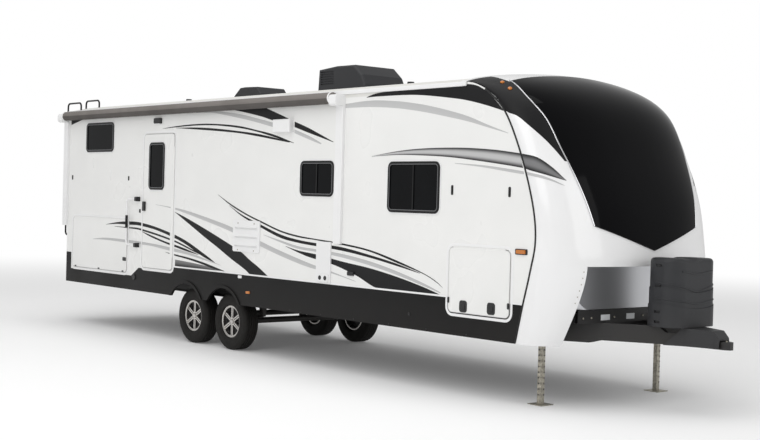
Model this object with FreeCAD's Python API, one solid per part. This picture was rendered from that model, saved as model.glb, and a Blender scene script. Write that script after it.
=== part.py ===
import FreeCAD, Part
import math
import os

# Travel caravan: a long tandem-axle bumper-pull house trailer.
# Millimetres. +X forward to the hitch, +Y the off side, -Y the door side, +Z up, tyres on z = 0.
# Stations along X are measured from the outside of the rear wall.
# Each shape is moved by origin_station when it is written, so the origin is below mid-length.

V = FreeCAD.Vector

# Whole vehicle
coupler_tip = 11040.0
bumper_rear = -130.0
origin_station = (coupler_tip + bumper_rear) / 2
half_width = 1220.0
fit_gap = 0.3

# Wheels and axles
tyre_radius = 360.0
tyre_half_width = 112.0
tyre_facets = 60
rim_radius = 195.0
rim_wall = 15.0
rim_half_width = 80.0
wheel_track_half = half_width - 220.0
axle_spacing = 889.0
rear_axle_station = 3424.0
front_axle_station = rear_axle_station + axle_spacing
hub_radius = 52.0
spoke_pairs = 6
spoke_gap = 13.0
spoke_width = 17.0
spoke_depth = 34.0
spoke_inset = 12.0
axle_tube_radius = 38.0
axle_running_gap = 6.0
spindle_radius = 22.0
spindle_clearance = 0.4
spring_half_length = 330.0
spring_leaf_width = 45.0
spring_leaf_height = 34.0

# Frame below the floor
skirt_bottom = 605.0
rail_bottom = 625.0
rail_height = 205.0
rail_offset = half_width - 420.0
rail_flange = 76.0
rail_web = 10.0
rail_flange_thick = 12.0
rail_rear_end = 60.0
rail_front_end = 9350.0
crossmember_count = 7
crossmember_width = 60.0
crossmember_height = 120.0
outrigger_width = 50.0
bumper_size = 100.0
bumper_wall = 6.0
bumper_half_width = half_width - 170.0
floor_thick = 95.0
floor_front = 9420.0
nose_floor_half_width = half_width - 340.0
floor_top = rail_bottom + rail_height + floor_thick

# Cabin walls, belt and roof
wall = 45.0
rear_wall_thick = 45.0
belt = 983.0
belt_rear = 805.0
belt_door = 925.0
corner_guard_width = 160.0
corner_guard_top = 1050.0
skirt_thick = 20.0
arch_radius = 430.0
arch_lip_width = 38.0
arch_lip_proud = 14.0
roof_edge_bottom = 3095.0
roof_edge_top = 3172.0
roof_crown = 3320.0
roof_front_station = 8640.0
roof_thick = 80.0
gutter_height = 42.0
gutter_depth = 22.0

# Door side openings
door_rear_edge = 2270.0
door_front_edge = 3080.0
door_bottom = 935.0
door_top = 2780.0
door_thick = 40.0
door_gap = 7.0
door_pin_radius = 8.0
hatch_pin_radius = 6.0
kitchen_rear = 200.0
kitchen_front = 1855.0
kitchen_bottom = 835.0
kitchen_top = 1590.0
hatch_gap = 6.0
hatch_thick = 30.0
storage_rear = 8470.0
storage_front = 9345.0
storage_bottom = 835.0
storage_top = 1505.0
corner_radius = 60.0

# Grab handle beside the door
handle_station = 2154.0
handle_reach = 255.0
handle_bottom = 1240.0
handle_top = 1880.0
handle_bracket = 48.0
handle_radius = 13.0
handle_stand_off = 48.0

# Windows
bunk_window = (574.0, 1405.0, 2548.0, 2975.0)
lounge_window = (5900.0, 6535.0, 1980.0, 2390.0)
bedroom_window = (7482.0, 8303.0, 1831.0, 2374.0)
door_window = (2430.0, 2838.0, 2015.0, 2660.0)
slide_window = (4700.0, 6100.0, 1750.0, 2420.0)
window_radius = 70.0
window_flange = 24.0
window_proud = 12.0
pane_inset = 34.0
pane_thick = 8.0
pane_proud = 2.0
divided_windows = (lounge_window, bedroom_window, slide_window)
divider_half = 9.0

# Slide-out room on the off side
slide_rear = 3600.0
slide_front = 7200.0
slide_bottom = belt + 30.0
slide_top = 2960.0
slide_depth = 950.0
slide_panel = 40.0
slide_flange = 40.0
slide_clearance = 10.0

# Front cap
cap_thick = 40.0
cap_chin = 1380.0
chin_half_width = half_width - 320.0
leg_inner_half_width = half_width - 255.0
chin_panel_station = 9930.0
chin_panel_thick = 25.0
chin_panel_bottom = 960.0
chin_shelf_thick = 30.0
chin_beam_rear = chin_panel_station - 50.0
chin_beam_half_width = half_width - 330.0
chin_beam_top = chin_panel_bottom - 6.0
glass_panel_thick = 8.0
seam_gap = 0.3

# Hitch end
frame_channel_width = 60.0
frame_channel_height = 200.0
frame_tip_drop = 55.0
frame_low_rise = 30.0
frame_root_station = rail_front_end + fit_gap
frame_root_offset = rail_offset + rail_flange / 2
header_depth = 95.0
header_half_width = half_width - 260.0
header_height = 125.0
frame_tip_offset = 45.0
frame_tip_station = 10830.0
ball_radius = 29.7
ball_station = 10950.0
coupler_height = 720.0

# Gas bottle cover
gas_rear = 10262.0
gas_depth = 375.0
gas_width = 690.0
gas_corner = 155.0
gas_top = 1480.0
gas_notch_half = 130.0
gas_notch_depth = 36.0
gas_ledge = 7.0
gas_waves = ((1155.0, 70.0), (1002.0, 55.0))
gas_slots = (1410.0, 1215.0, 970.0, 875.0)
gas_slot_depth = 8.0

# Hitch hood
hood_rear = 10400.0
hood_peak = 10610.0
hood_front = 10955.0
hood_top = 821.0
hood_wall = 7.0

# Legs
leg_station = 9487.0
leg_offset = half_width - 320.0
leg_size = 50.0
leg_wall = 4.0
foot_size = 180.0
foot_thick = 8.0

# Awning
awning_radius = 65.0
awning_offset = 82.0
awning_height = roof_edge_top - 80.0
awning_rear = 30.0
awning_front = 6580.0
awning_arm_width = 130.0
awning_arm_foot = 1450.0

# Rear ladder
ladder_stand_off = 200.0
ladder_outer = half_width - 75.0
ladder_width = 300.0
ladder_hook_depth = 220.0
ladder_hook_rise = 110.0
ladder_tube_radius = 13.0
ladder_foot = 1300.0
ladder_rungs = 6
ladder_rung_pitch = 300.0

# Service fittings on the door side
louvre_heights = (1330.0, 1440.0, 1550.0)

# Roof equipment
cooler_rear = 5020.0
cooler_length = 930.0
cooler_half_width = 340.0
cooler_height = 290.0
cooler_louvres = 6
vent_rear = 2990.0
vent_length = 620.0
vent_half_width = 240.0
vent_height = 140.0
plumbing_vents = (1420.0, 6420.0)

# The seam between side wall and cap, from the roof down, as (station, height)
seam_line = [
    (roof_front_station, roof_edge_top + 3.0),
    (8930.0, 3090.0),
    (9200.0, 2870.0),
    (9430.0, 2460.0),
    (9610.0, 1965.0),
    (9660.0, 1610.0),
    (9600.0, 1300.0),
    (9520.0, 990.0),
    (9430.0, skirt_bottom),
]
# The cap's middle profile, paired point for point with the seam
nose_line = [
    (roof_front_station, roof_crown - 5.0),
    (9270.0, 3205.0),
    (9590.0, 2970.0),
    (9835.0, 2500.0),
    (10030.0, 1965.0),
    (10100.0, 1610.0),
    (10125.0, 1370.0),
    (10020.0, 990.0),
    (9850.0, skirt_bottom),
]
# A station ahead of the whole cap
nose_reach = max(station for station, height in nose_line) + 500.0
# The nose panel's side edge from the top down, as (distance in from the side, height), and its low point
panel_edge = [
    (250.0, 3150.0),
    (320.0, 2700.0),
    (345.0, 2390.0),
    (385.0, 2060.0),
    (435.0, 1860.0),
    (470.0, 1735.0),
]
panel_point = 1530.0
# How square the cap's corner is at each of those points
corner_power = [1.7, 1.9, 2.2, 2.4, 2.5, 2.5, 2.9, 3.4, 3.5]


def box(x0, x1, y0, y1, z0, z1):
    """An axis-aligned block between two corners."""
    return Part.makeBox(x1 - x0, y1 - y0, z1 - z0, V(x0, y0, z0))


def mirrored(shape):
    """The same shape on the other side of the centre plane."""
    return shape.mirror(V(0, 0, 0), V(0, 1, 0))


def pair(shape):
    """A shape and its mirror image, as one node of two solids."""
    return Part.makeCompound([shape, mirrored(shape)])


def side_plate(points, y0, y1):
    """A flat outline of (station, height) points, extruded from y0 to y1."""
    loop = [V(x, y0, z) for x, z in points]
    wire = Part.makePolygon(loop + [loop[0]])
    return Part.Face(wire).extrude(V(0, y1 - y0, 0))


def front_plate(points, x0, x1):
    """A flat outline of (offset, height) points, extruded from x0 to x1."""
    loop = [V(x0, y, z) for y, z in points]
    wire = Part.makePolygon(loop + [loop[0]])
    return Part.Face(wire).extrude(V(x1 - x0, 0, 0))


def rounded_panel(x0, x1, z0, z1, radius, y0, y1):
    """A rounded rectangle seen from the side, extruded from y0 to y1."""
    block = box(x0, x1, min(y0, y1), max(y0, y1), z0, z1)
    upright = [
        edge
        for edge in block.Edges
        if abs(edge.Vertexes[0].Y - edge.Vertexes[1].Y) > 0.5 * abs(y1 - y0)
    ]
    return block.makeFillet(radius, upright)


def rod(start, end, radius):
    """A round bar from one point to another."""
    return Part.makeCylinder(radius, (end - start).Length, start, end - start)


def bent_tube(points, radius, bend):
    """A round tube along straight runs joined by elbows of one radius."""
    pieces = []
    last = points[0]
    for before, corner, after in zip(points, points[1:], points[2:]):
        back = (before - corner).normalize()
        ahead = (after - corner).normalize()
        half = back.getAngle(ahead) / 2
        reach = bend / math.tan(half)
        first = corner + back * reach
        centre = corner + (back + ahead).normalize() * (bend / math.sin(half))
        axis = (first - centre).cross(back * -1)
        circle = Part.Face(Part.Wire(Part.makeCircle(radius, first, back)))
        pieces.append(rod(last, first, radius))
        pieces.append(circle.revolve(centre, axis, 180 - 2 * math.degrees(half)))
        last = corner + ahead * reach
    pieces.append(rod(last, points[-1], radius))
    return pieces[0].multiFuse(pieces[1:])


def smooth_line(points, y=0.0):
    """A smooth curve through (station, height) points at one offset."""
    curve = Part.BSplineCurve()
    curve.interpolate([V(x, y, z) for x, z in points])
    return curve


def cap_block(inset):
    """The cap's outer form as one block, drawn in by inset all over."""
    reach = half_width - inset
    wires = []
    shares = [1.0, 0.985, 0.93, 0.82, 0.62, 0.33, 0.0]
    for share in [-s for s in shares] + shares[-2::-1]:
        points = []
        for seam, nose, power in zip(seam_line, nose_line, corner_power):
            fullness = (1 - abs(share) ** power) ** (1 / power)
            x = seam[0] + (nose[0] - seam[0]) * fullness - inset
            z = seam[1] + (nose[1] - seam[1]) * fullness
            slope = (z - skirt_bottom) / (roof_edge_top - skirt_bottom)
            points.append((x, z - inset * max(0.0, slope) ** 6))
        y = reach * share
        front = smooth_line(points, y).toShape()
        top_x, top_z = points[0]
        low_x, low_z = points[-1]
        back_x = roof_front_station - 400.0
        corners = [V(low_x, y, low_z), V(back_x, y, low_z), V(back_x, y, top_z), V(top_x, y, top_z)]
        lines = [Part.LineSegment(a, b).toShape() for a, b in zip(corners, corners[1:])]
        wires.append(Part.Wire([front] + lines))
    return Part.makeLoft(wires, True, False)


def seam_face(shift, y0, y1, behind):
    """A block on one side of the seam: behind it towards the rear, or in front of it."""
    seam = smooth_line([(x + shift, z) for x, z in seam_line], y0).toShape()
    top = V(seam_line[0][0] + shift, y0, seam_line[0][1])
    low = V(seam_line[-1][0] + shift, y0, seam_line[-1][1])
    far = rear_wall_thick if behind else nose_reach
    lift = 0.0 if behind else 600.0
    corners = [low, V(low.x, y0, low.z - lift), V(far, y0, low.z - lift)]
    corners += [V(far, y0, top.z + lift), V(top.x, y0, top.z + lift), top]
    lines = [
        Part.LineSegment(a, b).toShape() for a, b in zip(corners, corners[1:]) if (b - a).Length > 0
    ]
    return Part.Face(Part.Wire([seam] + lines)).extrude(V(0, y1 - y0, 0))


def front_cap():
    """The moulded front cap: a shell with side legs and an open chin."""
    shell = cap_block(0.0).cut(cap_block(cap_thick))
    ahead = seam_face(seam_gap, -half_width, half_width, False)
    shell = shell.common(ahead)
    chin = front_plate(
        [
            (-chin_half_width, cap_chin),
            (chin_half_width, cap_chin),
            (leg_inner_half_width, skirt_bottom - 50),
            (-leg_inner_half_width, skirt_bottom - 50),
        ],
        9000.0,
        10500.0,
    )
    shell = shell.cut(chin)
    shelf = box(
        chin_panel_station,
        10500.0,
        -half_width,
        half_width,
        cap_chin,
        cap_chin + chin_shelf_thick,
    )
    shelf = shelf.common(cap_block(cap_thick / 2))
    return shell.fuse(shelf).removeSplitter()


def windshield_outline():
    """The dark nose panel seen from the front, as (offset, height) points."""
    half = [(half_width - drawn_in, z) for drawn_in, z in panel_edge]
    right = [(-y, z) for y, z in half]
    return right + [(0.0, panel_point)] + half[::-1] + [(0.0, roof_crown + 80.0)]


def windshield_panel():
    """A thin skin that lies on the cap within the panel's outline."""
    skin = cap_block(-glass_panel_thick - fit_gap).cut(cap_block(-fit_gap))
    ahead = box(8990.0, 10500.0, -half_width, half_width, 1000.0, 3500.0)
    return skin.common(front_plate(windshield_outline(), 8990.0, 10500.0)).common(ahead)


def chin_panel():
    """The brushed metal panel that closes the open chin, between the cap's legs."""
    plate = box(
        chin_panel_station - chin_panel_thick,
        chin_panel_station,
        -half_width,
        half_width,
        chin_panel_bottom,
        cap_chin + chin_shelf_thick - fit_gap,
    )
    return plate.common(cap_block(cap_thick + fit_gap))


def window_opening(size, y0, y1):
    """The hole for one window through a wall."""
    x0, x1, z0, z1 = size
    grow = window_flange / 2
    return rounded_panel(x0 + grow, x1 - grow, z0 + grow, z1 - grow, window_radius - grow, y0, y1)


def window_frame(size, face, thick, side):
    """A flanged ring that fills a window opening and laps the wall outside."""
    x0, x1, z0, z1 = size
    grow = window_flange / 2 + fit_gap
    outside = face + side * window_proud
    inside = face - side * thick
    seat = face + side * fit_gap
    flange = rounded_panel(x0, x1, z0, z1, window_radius, seat, outside)
    sleeve = rounded_panel(
        x0 + grow, x1 - grow, z0 + grow, z1 - grow, window_radius - grow, inside, outside
    )
    bore = rounded_panel(
        x0 + pane_inset,
        x1 - pane_inset,
        z0 + pane_inset,
        z1 - pane_inset,
        window_radius - pane_inset,
        inside - side * 5,
        outside + side * 5,
    )
    frame = flange.fuse(sleeve).cut(bore)
    if size in divided_windows:
        middle = (x0 + x1) / 2
        y0 = face + side * (pane_proud + fit_gap)
        y1 = face + side * window_proud
        z = (z0 + pane_inset - 1, z1 - pane_inset + 1)
        bar = box(middle - divider_half, middle + divider_half, min(y0, y1), max(y0, y1), z[0], z[1])
        frame = frame.fuse(bar)
    return frame.removeSplitter()


def window_pane(size, face, side):
    """The dark glass inside one frame."""
    x0, x1, z0, z1 = size
    inset = pane_inset + fit_gap
    front = face + side * pane_proud
    back = front - side * pane_thick
    return rounded_panel(
        x0 + inset, x1 - inset, z0 + inset, z1 - inset, window_radius - inset, back, front
    )


def wall_outline_right():
    """The door side wall's lower edge steps round the rear hatch and the door."""
    return [
        (rear_wall_thick, corner_guard_top),
        (corner_guard_width, corner_guard_top),
        (corner_guard_width, belt_rear),
        (1980.0, belt_rear),
        (2180.0, belt_door),
        (door_front_edge + 20, belt_door),
        (door_front_edge + 20, belt),
    ]


def side_wall(right):
    """One side wall with its openings; both are drawn on the door side first."""
    inner = -half_width + wall
    block = seam_face(0.0, -half_width, inner, True)
    above_roof = box(0, roof_front_station, -half_width, inner, roof_edge_bottom, 3400.0)
    block = block.cut(above_roof)
    if right:
        edge = wall_outline_right()
    else:
        edge = [
            (rear_wall_thick, corner_guard_top),
            (corner_guard_width, corner_guard_top),
            (corner_guard_width, belt),
        ]
    below = [(0.0, 500.0), (0.0, edge[0][1])] + edge + [(coupler_tip, belt), (coupler_tip, 500.0)]
    block = block.cut(side_plate(below, -half_width - 5, inner + 5))
    y0 = -half_width - 5
    y1 = inner + 5
    block = block.cut(storage_opening(y0, y1))
    block = block.cut(window_opening(bunk_window, y0, y1))
    block = block.cut(window_opening(bedroom_window, y0, y1))
    if right:
        doorway = rounded_panel(door_rear_edge, door_front_edge, door_bottom, door_top, corner_radius, y0, y1)
        block = block.cut(doorway)
        block = block.cut(kitchen_opening(y0, y1))
        block = block.cut(window_opening(lounge_window, y0, y1))
        return block
    slot = box(
        slide_rear - slide_clearance,
        slide_front + slide_clearance,
        y0,
        y1,
        slide_bottom - slide_clearance,
        slide_top + slide_clearance,
    )
    return mirrored(block.cut(slot))


def storage_opening(y0, y1):
    """The front storage hatch's hole."""
    return rounded_panel(storage_rear, storage_front, storage_bottom, storage_top, corner_radius, y0, y1)


def kitchen_opening(y0, y1):
    """The outside kitchen hatch's hole."""
    return rounded_panel(kitchen_rear, kitchen_front, kitchen_bottom, kitchen_top, corner_radius, y0, y1)


def skirt(right):
    """The black skirt below the belt, with its two wheel arches."""
    y0 = -half_width
    y1 = y0 + skirt_thick
    block = seam_face(0.0, y0, y1, True).fuse(box(0, rear_wall_thick, y0, y1, skirt_bottom, corner_guard_top))
    if right:
        edge = wall_outline_right()
    else:
        edge = [
            (rear_wall_thick, corner_guard_top),
            (corner_guard_width, corner_guard_top),
            (corner_guard_width, belt),
        ]
    above = [(-10.0, 3400.0), (-10.0, corner_guard_top)] + edge + [(coupler_tip, belt), (coupler_tip, 3400.0)]
    block = block.cut(side_plate(above, y0 - 5, y1 + 5)).removeSplitter()
    for station in (rear_axle_station, front_axle_station):
        block = block.cut(rod(V(station, y0 - 5, tyre_radius), V(station, y1 + 5, tyre_radius), arch_radius))
    block = block.cut(storage_opening(y0 - 5, y1 + 5))
    if right:
        block = block.cut(kitchen_opening(y0 - 5, y1 + 5))
        block = block.cut(box(door_rear_edge, door_front_edge, y0 - 5, y1 + 5, door_bottom, door_top))
    for lip in arch_lips():
        block = block.fuse(lip)
    block = block.removeSplitter()
    return block if right else mirrored(block)


def arch_lips():
    """Raised lips round the two wheel arches of the door side."""
    lips = []
    for station in (rear_axle_station, front_axle_station):
        y0 = -half_width - arch_lip_proud
        y1 = -half_width
        outer = rod(V(station, y0, tyre_radius), V(station, y1, tyre_radius), arch_radius + arch_lip_width)
        inner = rod(V(station, y0 - 5, tyre_radius), V(station, y1 + 5, tyre_radius), arch_radius)
        ring = outer.cut(inner)
        keep = box(
            station - axle_spacing / 2 + 3,
            station + axle_spacing / 2 - 3,
            y0,
            y1,
            skirt_bottom,
            1000.0,
        )
        lips.append(ring.common(keep))
    return lips


def roof():
    """The crowned roof panel between the rear wall and the cap."""
    edge = half_width
    outer = Part.Arc(V(0, -edge, roof_edge_top), V(0, 0, roof_crown), V(0, edge, roof_edge_top)).toShape()
    low = Part.Arc(
        V(0, edge, roof_edge_bottom), V(0, 0, roof_crown - roof_thick), V(0, -edge, roof_edge_bottom)
    ).toShape()
    right = Part.LineSegment(V(0, -edge, roof_edge_bottom), V(0, -edge, roof_edge_top)).toShape()
    left = Part.LineSegment(V(0, edge, roof_edge_top), V(0, edge, roof_edge_bottom)).toShape()
    return Part.Face(Part.Wire([outer, left, low, right])).extrude(V(roof_front_station, 0, 0))


def roof_height(y, under=False):
    """Height of the roof's outside or underside at one offset."""
    edge_z = roof_edge_bottom if under else roof_edge_top
    top_z = roof_crown - roof_thick if under else roof_crown
    rise = top_z - edge_z
    radius = (half_width**2 + rise**2) / (2 * rise)
    return top_z - radius + math.sqrt(radius**2 - y**2)


def rear_wall():
    """The flat rear wall, up to the roof's underside."""
    edge = half_width
    foot = corner_guard_top
    arc = Part.Arc(
        V(0, edge, roof_edge_bottom), V(0, 0, roof_crown - roof_thick), V(0, -edge, roof_edge_bottom)
    ).toShape()
    lines = [V(0, -edge, roof_edge_bottom), V(0, -edge, foot), V(0, edge, foot), V(0, edge, roof_edge_bottom)]
    sides = [Part.LineSegment(a, b).toShape() for a, b in zip(lines, lines[1:])]
    plate = Part.Face(Part.Wire([arc] + sides)).extrude(V(rear_wall_thick, 0, 0))
    lower = box(0, rear_wall_thick, -edge + skirt_thick, edge - skirt_thick, rail_bottom + rail_height, foot)
    return plate.fuse(lower).removeSplitter()


def rear_skirt():
    """The black panel that joins the two side skirts behind."""
    inner = half_width - skirt_thick
    return box(0, skirt_thick, -inner, inner, skirt_bottom, rail_bottom + rail_height)


def floor():
    """The cabin floor, on the chassis rails."""
    inner = half_width - wall - fit_gap
    main = box(rear_wall_thick, floor_front, -inner, inner, floor_top - floor_thick, floor_top)
    low = rail_bottom + frame_channel_height + fit_gap
    nose_front = chin_beam_rear - fit_gap
    nose = box(floor_front, nose_front, -nose_floor_half_width, nose_floor_half_width, low, floor_top)
    return main.fuse(nose).removeSplitter()


def gutter():
    """The white rail along the roof's edge on the door side."""
    y0 = -half_width - gutter_depth
    bar = box(0, roof_front_station, y0, -half_width, roof_edge_top - gutter_height, roof_edge_top + 4)
    long_edges = [e for e in bar.Edges if e.Length > 1000 and e.BoundBox.YMax < -half_width - 1]
    return bar.makeFillet(8.0, long_edges)


def chassis_rail():
    """One I-section rail on the door side."""
    y = -rail_offset
    top = rail_bottom + rail_height
    half = rail_flange / 2
    outline = [
        (y - half, rail_bottom),
        (y + half, rail_bottom),
        (y + half, rail_bottom + rail_flange_thick),
        (y + rail_web / 2, rail_bottom + rail_flange_thick),
        (y + rail_web / 2, top - rail_flange_thick),
        (y + half, top - rail_flange_thick),
        (y + half, top),
        (y - half, top),
        (y - half, top - rail_flange_thick),
        (y - rail_web / 2, top - rail_flange_thick),
        (y - rail_web / 2, rail_bottom + rail_flange_thick),
        (y - half, rail_bottom + rail_flange_thick),
    ]
    return front_plate(outline, rail_rear_end, rail_front_end)


def crossmember_stations():
    """Evenly spread stations of the crossmembers, clear of the frame's ends."""
    first = rail_rear_end + 150
    last = rail_front_end - 150
    return [first + (last - first) * i / (crossmember_count - 1) for i in range(crossmember_count)]


def crossmembers():
    """Channels between the rails' webs."""
    inner = rail_offset - rail_web / 2
    low = rail_bottom + rail_height - rail_flange_thick - crossmember_height
    high = rail_bottom + rail_height - rail_flange_thick
    pieces = []
    for x in crossmember_stations():
        bar = box(x, x + crossmember_width, -inner, inner, low, high)
        hollow = box(x + 6, x + crossmember_width + 1, -inner, inner, low + 6, high - 6)
        pieces.append(bar.cut(hollow))
    return pieces


def outriggers():
    """Tapered brackets from the rails out to the skirts, away from the wheels."""
    inner = rail_offset + rail_web / 2
    outer = half_width - wall - fit_gap
    high = rail_bottom + rail_height - rail_flange_thick
    pieces = []
    for x in crossmember_stations():
        if rear_axle_station - 700 < x < front_axle_station + 700:
            continue
        for side in (-1, 1):
            outline = [
                (side * inner, high),
                (side * outer, high),
                (side * outer, high - 50),
                (side * (inner + 120), high - crossmember_height),
                (side * inner, high - crossmember_height),
            ]
            pieces.append(front_plate(outline, x, x + outrigger_width))
    return pieces


def hitch_channel():
    """One side of the A-frame on the door side, converging on the coupler."""
    low = rail_bottom
    high = low + frame_channel_height
    outer = [
        V(frame_root_station, -frame_root_offset, low),
        V(frame_tip_station, -frame_tip_offset, low),
        V(frame_tip_station, -frame_tip_offset + 38, low),
        V(frame_root_station, -frame_root_offset + frame_channel_width, low),
    ]
    face = Part.Face(Part.makePolygon(outer + [outer[0]]))
    channel = face.extrude(V(0, 0, high - low))
    side = [
        (frame_root_station, low),
        (chin_panel_station - 120, low),
        (chin_panel_station - 20, low + frame_low_rise),
        (frame_tip_station, low + frame_low_rise),
        (frame_tip_station, high - frame_tip_drop),
        (gas_rear + 200, high - frame_tip_drop),
        (gas_rear + 140, high),
        (frame_root_station, high),
    ]
    return channel.common(side_plate(side, -half_width, half_width))


def hitch_line(station):
    """Offset of the A-frame's outer face at one station."""
    run = (station - frame_root_station) / (frame_tip_station - frame_root_station)
    return frame_root_offset - (frame_root_offset - frame_tip_offset) * run


def chin_beam():
    """The channel below the brushed chin panel, across the top of the A-frame."""
    low = rail_bottom + frame_channel_height + fit_gap
    half = chin_beam_half_width
    bar = box(chin_beam_rear, chin_panel_station, -half, half, low, chin_beam_top)
    hollow = box(chin_beam_rear - 1, chin_panel_station - 6, -half, half, low + 6, chin_beam_top - 6)
    return bar.cut(hollow)


def coupler():
    """The ball coupler: a tongue plate, a tapered body and the socket."""
    low = rail_bottom + 20
    tip = coupler_tip
    outline = [
        (frame_tip_station + fit_gap, -75.0),
        (10890.0, -62.0),
        (tip - 45, -52.0),
        (tip, -24.0),
        (tip, 24.0),
        (tip - 45, 52.0),
        (10890.0, 62.0),
        (frame_tip_station + fit_gap, 75.0),
    ]
    loop = [V(x, y, low) for x, y in outline]
    body = Part.Face(Part.makePolygon(loop + [loop[0]])).extrude(V(0, 0, coupler_height - low))
    socket = Part.makeCylinder(ball_radius, 60.0, V(ball_station, 0, low - 1))
    return body.cut(socket)


def hood_block(inset):
    """The hitch hood's outer form, drawn in by inset: four sections that narrow to the coupler."""
    low = rail_bottom + frame_low_rise - 5.0 - inset
    sections = [
        (hood_rear, hitch_line(hood_rear) + 17.0, hitch_line(hood_rear) + 5.0, hood_top),
        (hood_peak, hitch_line(hood_peak) + 14.0, hitch_line(hood_peak) + 8.0, hood_top),
        (hood_front - 65.0, 96.0, 84.0, hood_top - 7.0),
        (hood_front, 92.0, 74.0, hood_top - 70.0),
    ]
    wires = []
    for station, wide, narrow, high in sections:
        y0 = wide - inset
        y1 = narrow - inset
        z1 = high - inset
        loop = [V(station, -y0, low), V(station, -y1, z1), V(station, y1, z1), V(station, y0, low)]
        wires.append(Part.makePolygon(loop + [loop[0]]))
    return Part.makeLoft(wires, True, True)


def hitch_hood():
    """The faceted moulding over the tip of the A-frame, open below and behind."""
    low = rail_bottom + frame_low_rise - 5.0
    outer = hood_block(0.0)
    inner = hood_block(hood_wall)
    seat = rail_bottom + frame_channel_height - frame_tip_drop + fit_gap
    rib = box(hood_peak + 40, hood_peak + 50, -half_width, half_width, seat, hood_top).common(outer)
    end = box(hood_front - hood_wall, hood_front, -half_width, half_width, low + 80, hood_top).common(outer)
    shell = outer.cut(inner).fuse(rib).fuse(end)
    behind = [
        (hood_rear - 10, low - 10),
        (hood_rear + 40, low - 10),
        (hood_peak, hood_top + 5),
        (hood_rear - 10, hood_top + 5),
    ]
    return shell.cut(side_plate(behind, -half_width, half_width)).removeSplitter()


def gas_tier(grow, high):
    """One tier of the gas cover's body, wider than the one above it by grow."""
    low = rail_bottom + frame_channel_height + fit_gap
    half = gas_width / 2 + grow
    body = box(gas_rear - grow, gas_rear + gas_depth + grow, -half, half, low, high)
    upright = [e for e in body.Edges if e.BoundBox.ZLength > 100]
    return body.makeFillet(gas_corner + grow, upright)


def below_wave(dip, rise):
    """Everything below a smile-shaped curve across the gas cover."""
    half = gas_width / 2 + 40.0
    x0 = gas_rear - 40.0
    curve = Part.Arc(V(x0, -half, dip + rise), V(x0, 0, dip), V(x0, half, dip + rise)).toShape()
    corners = [
        V(x0, half, dip + rise),
        V(x0, half, rail_bottom),
        V(x0, -half, rail_bottom),
        V(x0, -half, dip + rise),
    ]
    lines = [Part.LineSegment(a, b).toShape() for a, b in zip(corners, corners[1:])]
    return Part.Face(Part.Wire([curve] + lines)).extrude(V(gas_depth + 80.0, 0, 0))


def gas_cover():
    """The moulded cover over two gas bottles: tiers with wave-shaped ledges and a notched crown."""
    body = gas_tier(0.0, gas_top)
    crown = [e for e in body.Edges if e.BoundBox.ZMin > gas_top - 1]
    body = body.makeFillet(38.0, crown)
    notch = front_plate(
        [(-gas_notch_half, gas_top + 1), (gas_notch_half, gas_top + 1), (0.0, gas_top - gas_notch_depth)],
        gas_rear - 1,
        gas_rear + gas_depth + 1,
    )
    body = body.cut(notch)
    for index, (dip, rise) in enumerate(gas_waves):
        grow = gas_ledge * (index + 1)
        body = body.fuse(gas_tier(grow, gas_top).common(below_wave(dip, rise)))
    side = gas_width / 2
    for height in gas_slots:
        for y in (-side, side):
            y0 = y - gas_slot_depth - 16
            y1 = y + gas_slot_depth + 16
            slot = box(10410.0, 10475.0, y0, y1, height - 11, height + 11)
            keep = gas_tier(-gas_slot_depth, gas_top)
            body = body.cut(slot.cut(keep))
    return body.removeSplitter()


def leg():
    """A front stand leg on the door side: a square tube on its foot plate."""
    half = leg_size / 2
    top = rail_bottom + frame_channel_height - header_height - fit_gap
    x0 = leg_station - half
    x1 = leg_station + half
    tube = box(x0, x1, -leg_offset - half, -leg_offset + half, foot_thick, top)
    bore = box(
        leg_station - half + leg_wall,
        leg_station + half - leg_wall,
        -leg_offset - half + leg_wall,
        -leg_offset + half - leg_wall,
        foot_thick,
        top,
    )
    foot_half = foot_size / 2
    foot = box(
        leg_station - foot_half,
        leg_station + foot_half,
        -leg_offset - foot_half,
        -leg_offset + foot_half,
        0,
        foot_thick,
    )
    return tube.cut(bore).fuse(foot).removeSplitter()


def header_brackets():
    """The crossbeam that carries the front legs, cut into three by the A-frame's channels."""
    high = rail_bottom + frame_channel_height - fit_gap
    low = high - header_height + fit_gap
    x0 = leg_station - header_depth / 2
    beam = box(x0, x0 + header_depth, -header_half_width, header_half_width, low, high)
    return beam.cut(hitch_channel()).cut(mirrored(hitch_channel())).Solids


def stowed_leg():
    """A rear stand leg on the door side, swung up along the rail."""
    y = -rail_offset - rail_flange / 2 - 62.0
    half = leg_size / 2
    z = rail_bottom + rail_height - half - fit_gap
    bar = box(500.0, 1050.0, y - half, y + half, z - half, z + half)
    foot = box(492.0, 500.0, y - 60, y + 60, z - 70, z + half)
    return bar.fuse(foot).removeSplitter()


def axle(station):
    """A straight tube axle with a spindle end at each hub."""
    reach = wheel_track_half - rim_half_width - axle_running_gap
    tube = rod(V(station, -reach, tyre_radius), V(station, reach, tyre_radius), axle_tube_radius)
    for side in (-1, 1):
        start = V(station, side * (reach - 20), tyre_radius)
        tip = V(station, side * (wheel_track_half - 20), tyre_radius)
        tube = tube.fuse(rod(start, tip, spindle_radius))
    return tube.removeSplitter()


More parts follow.
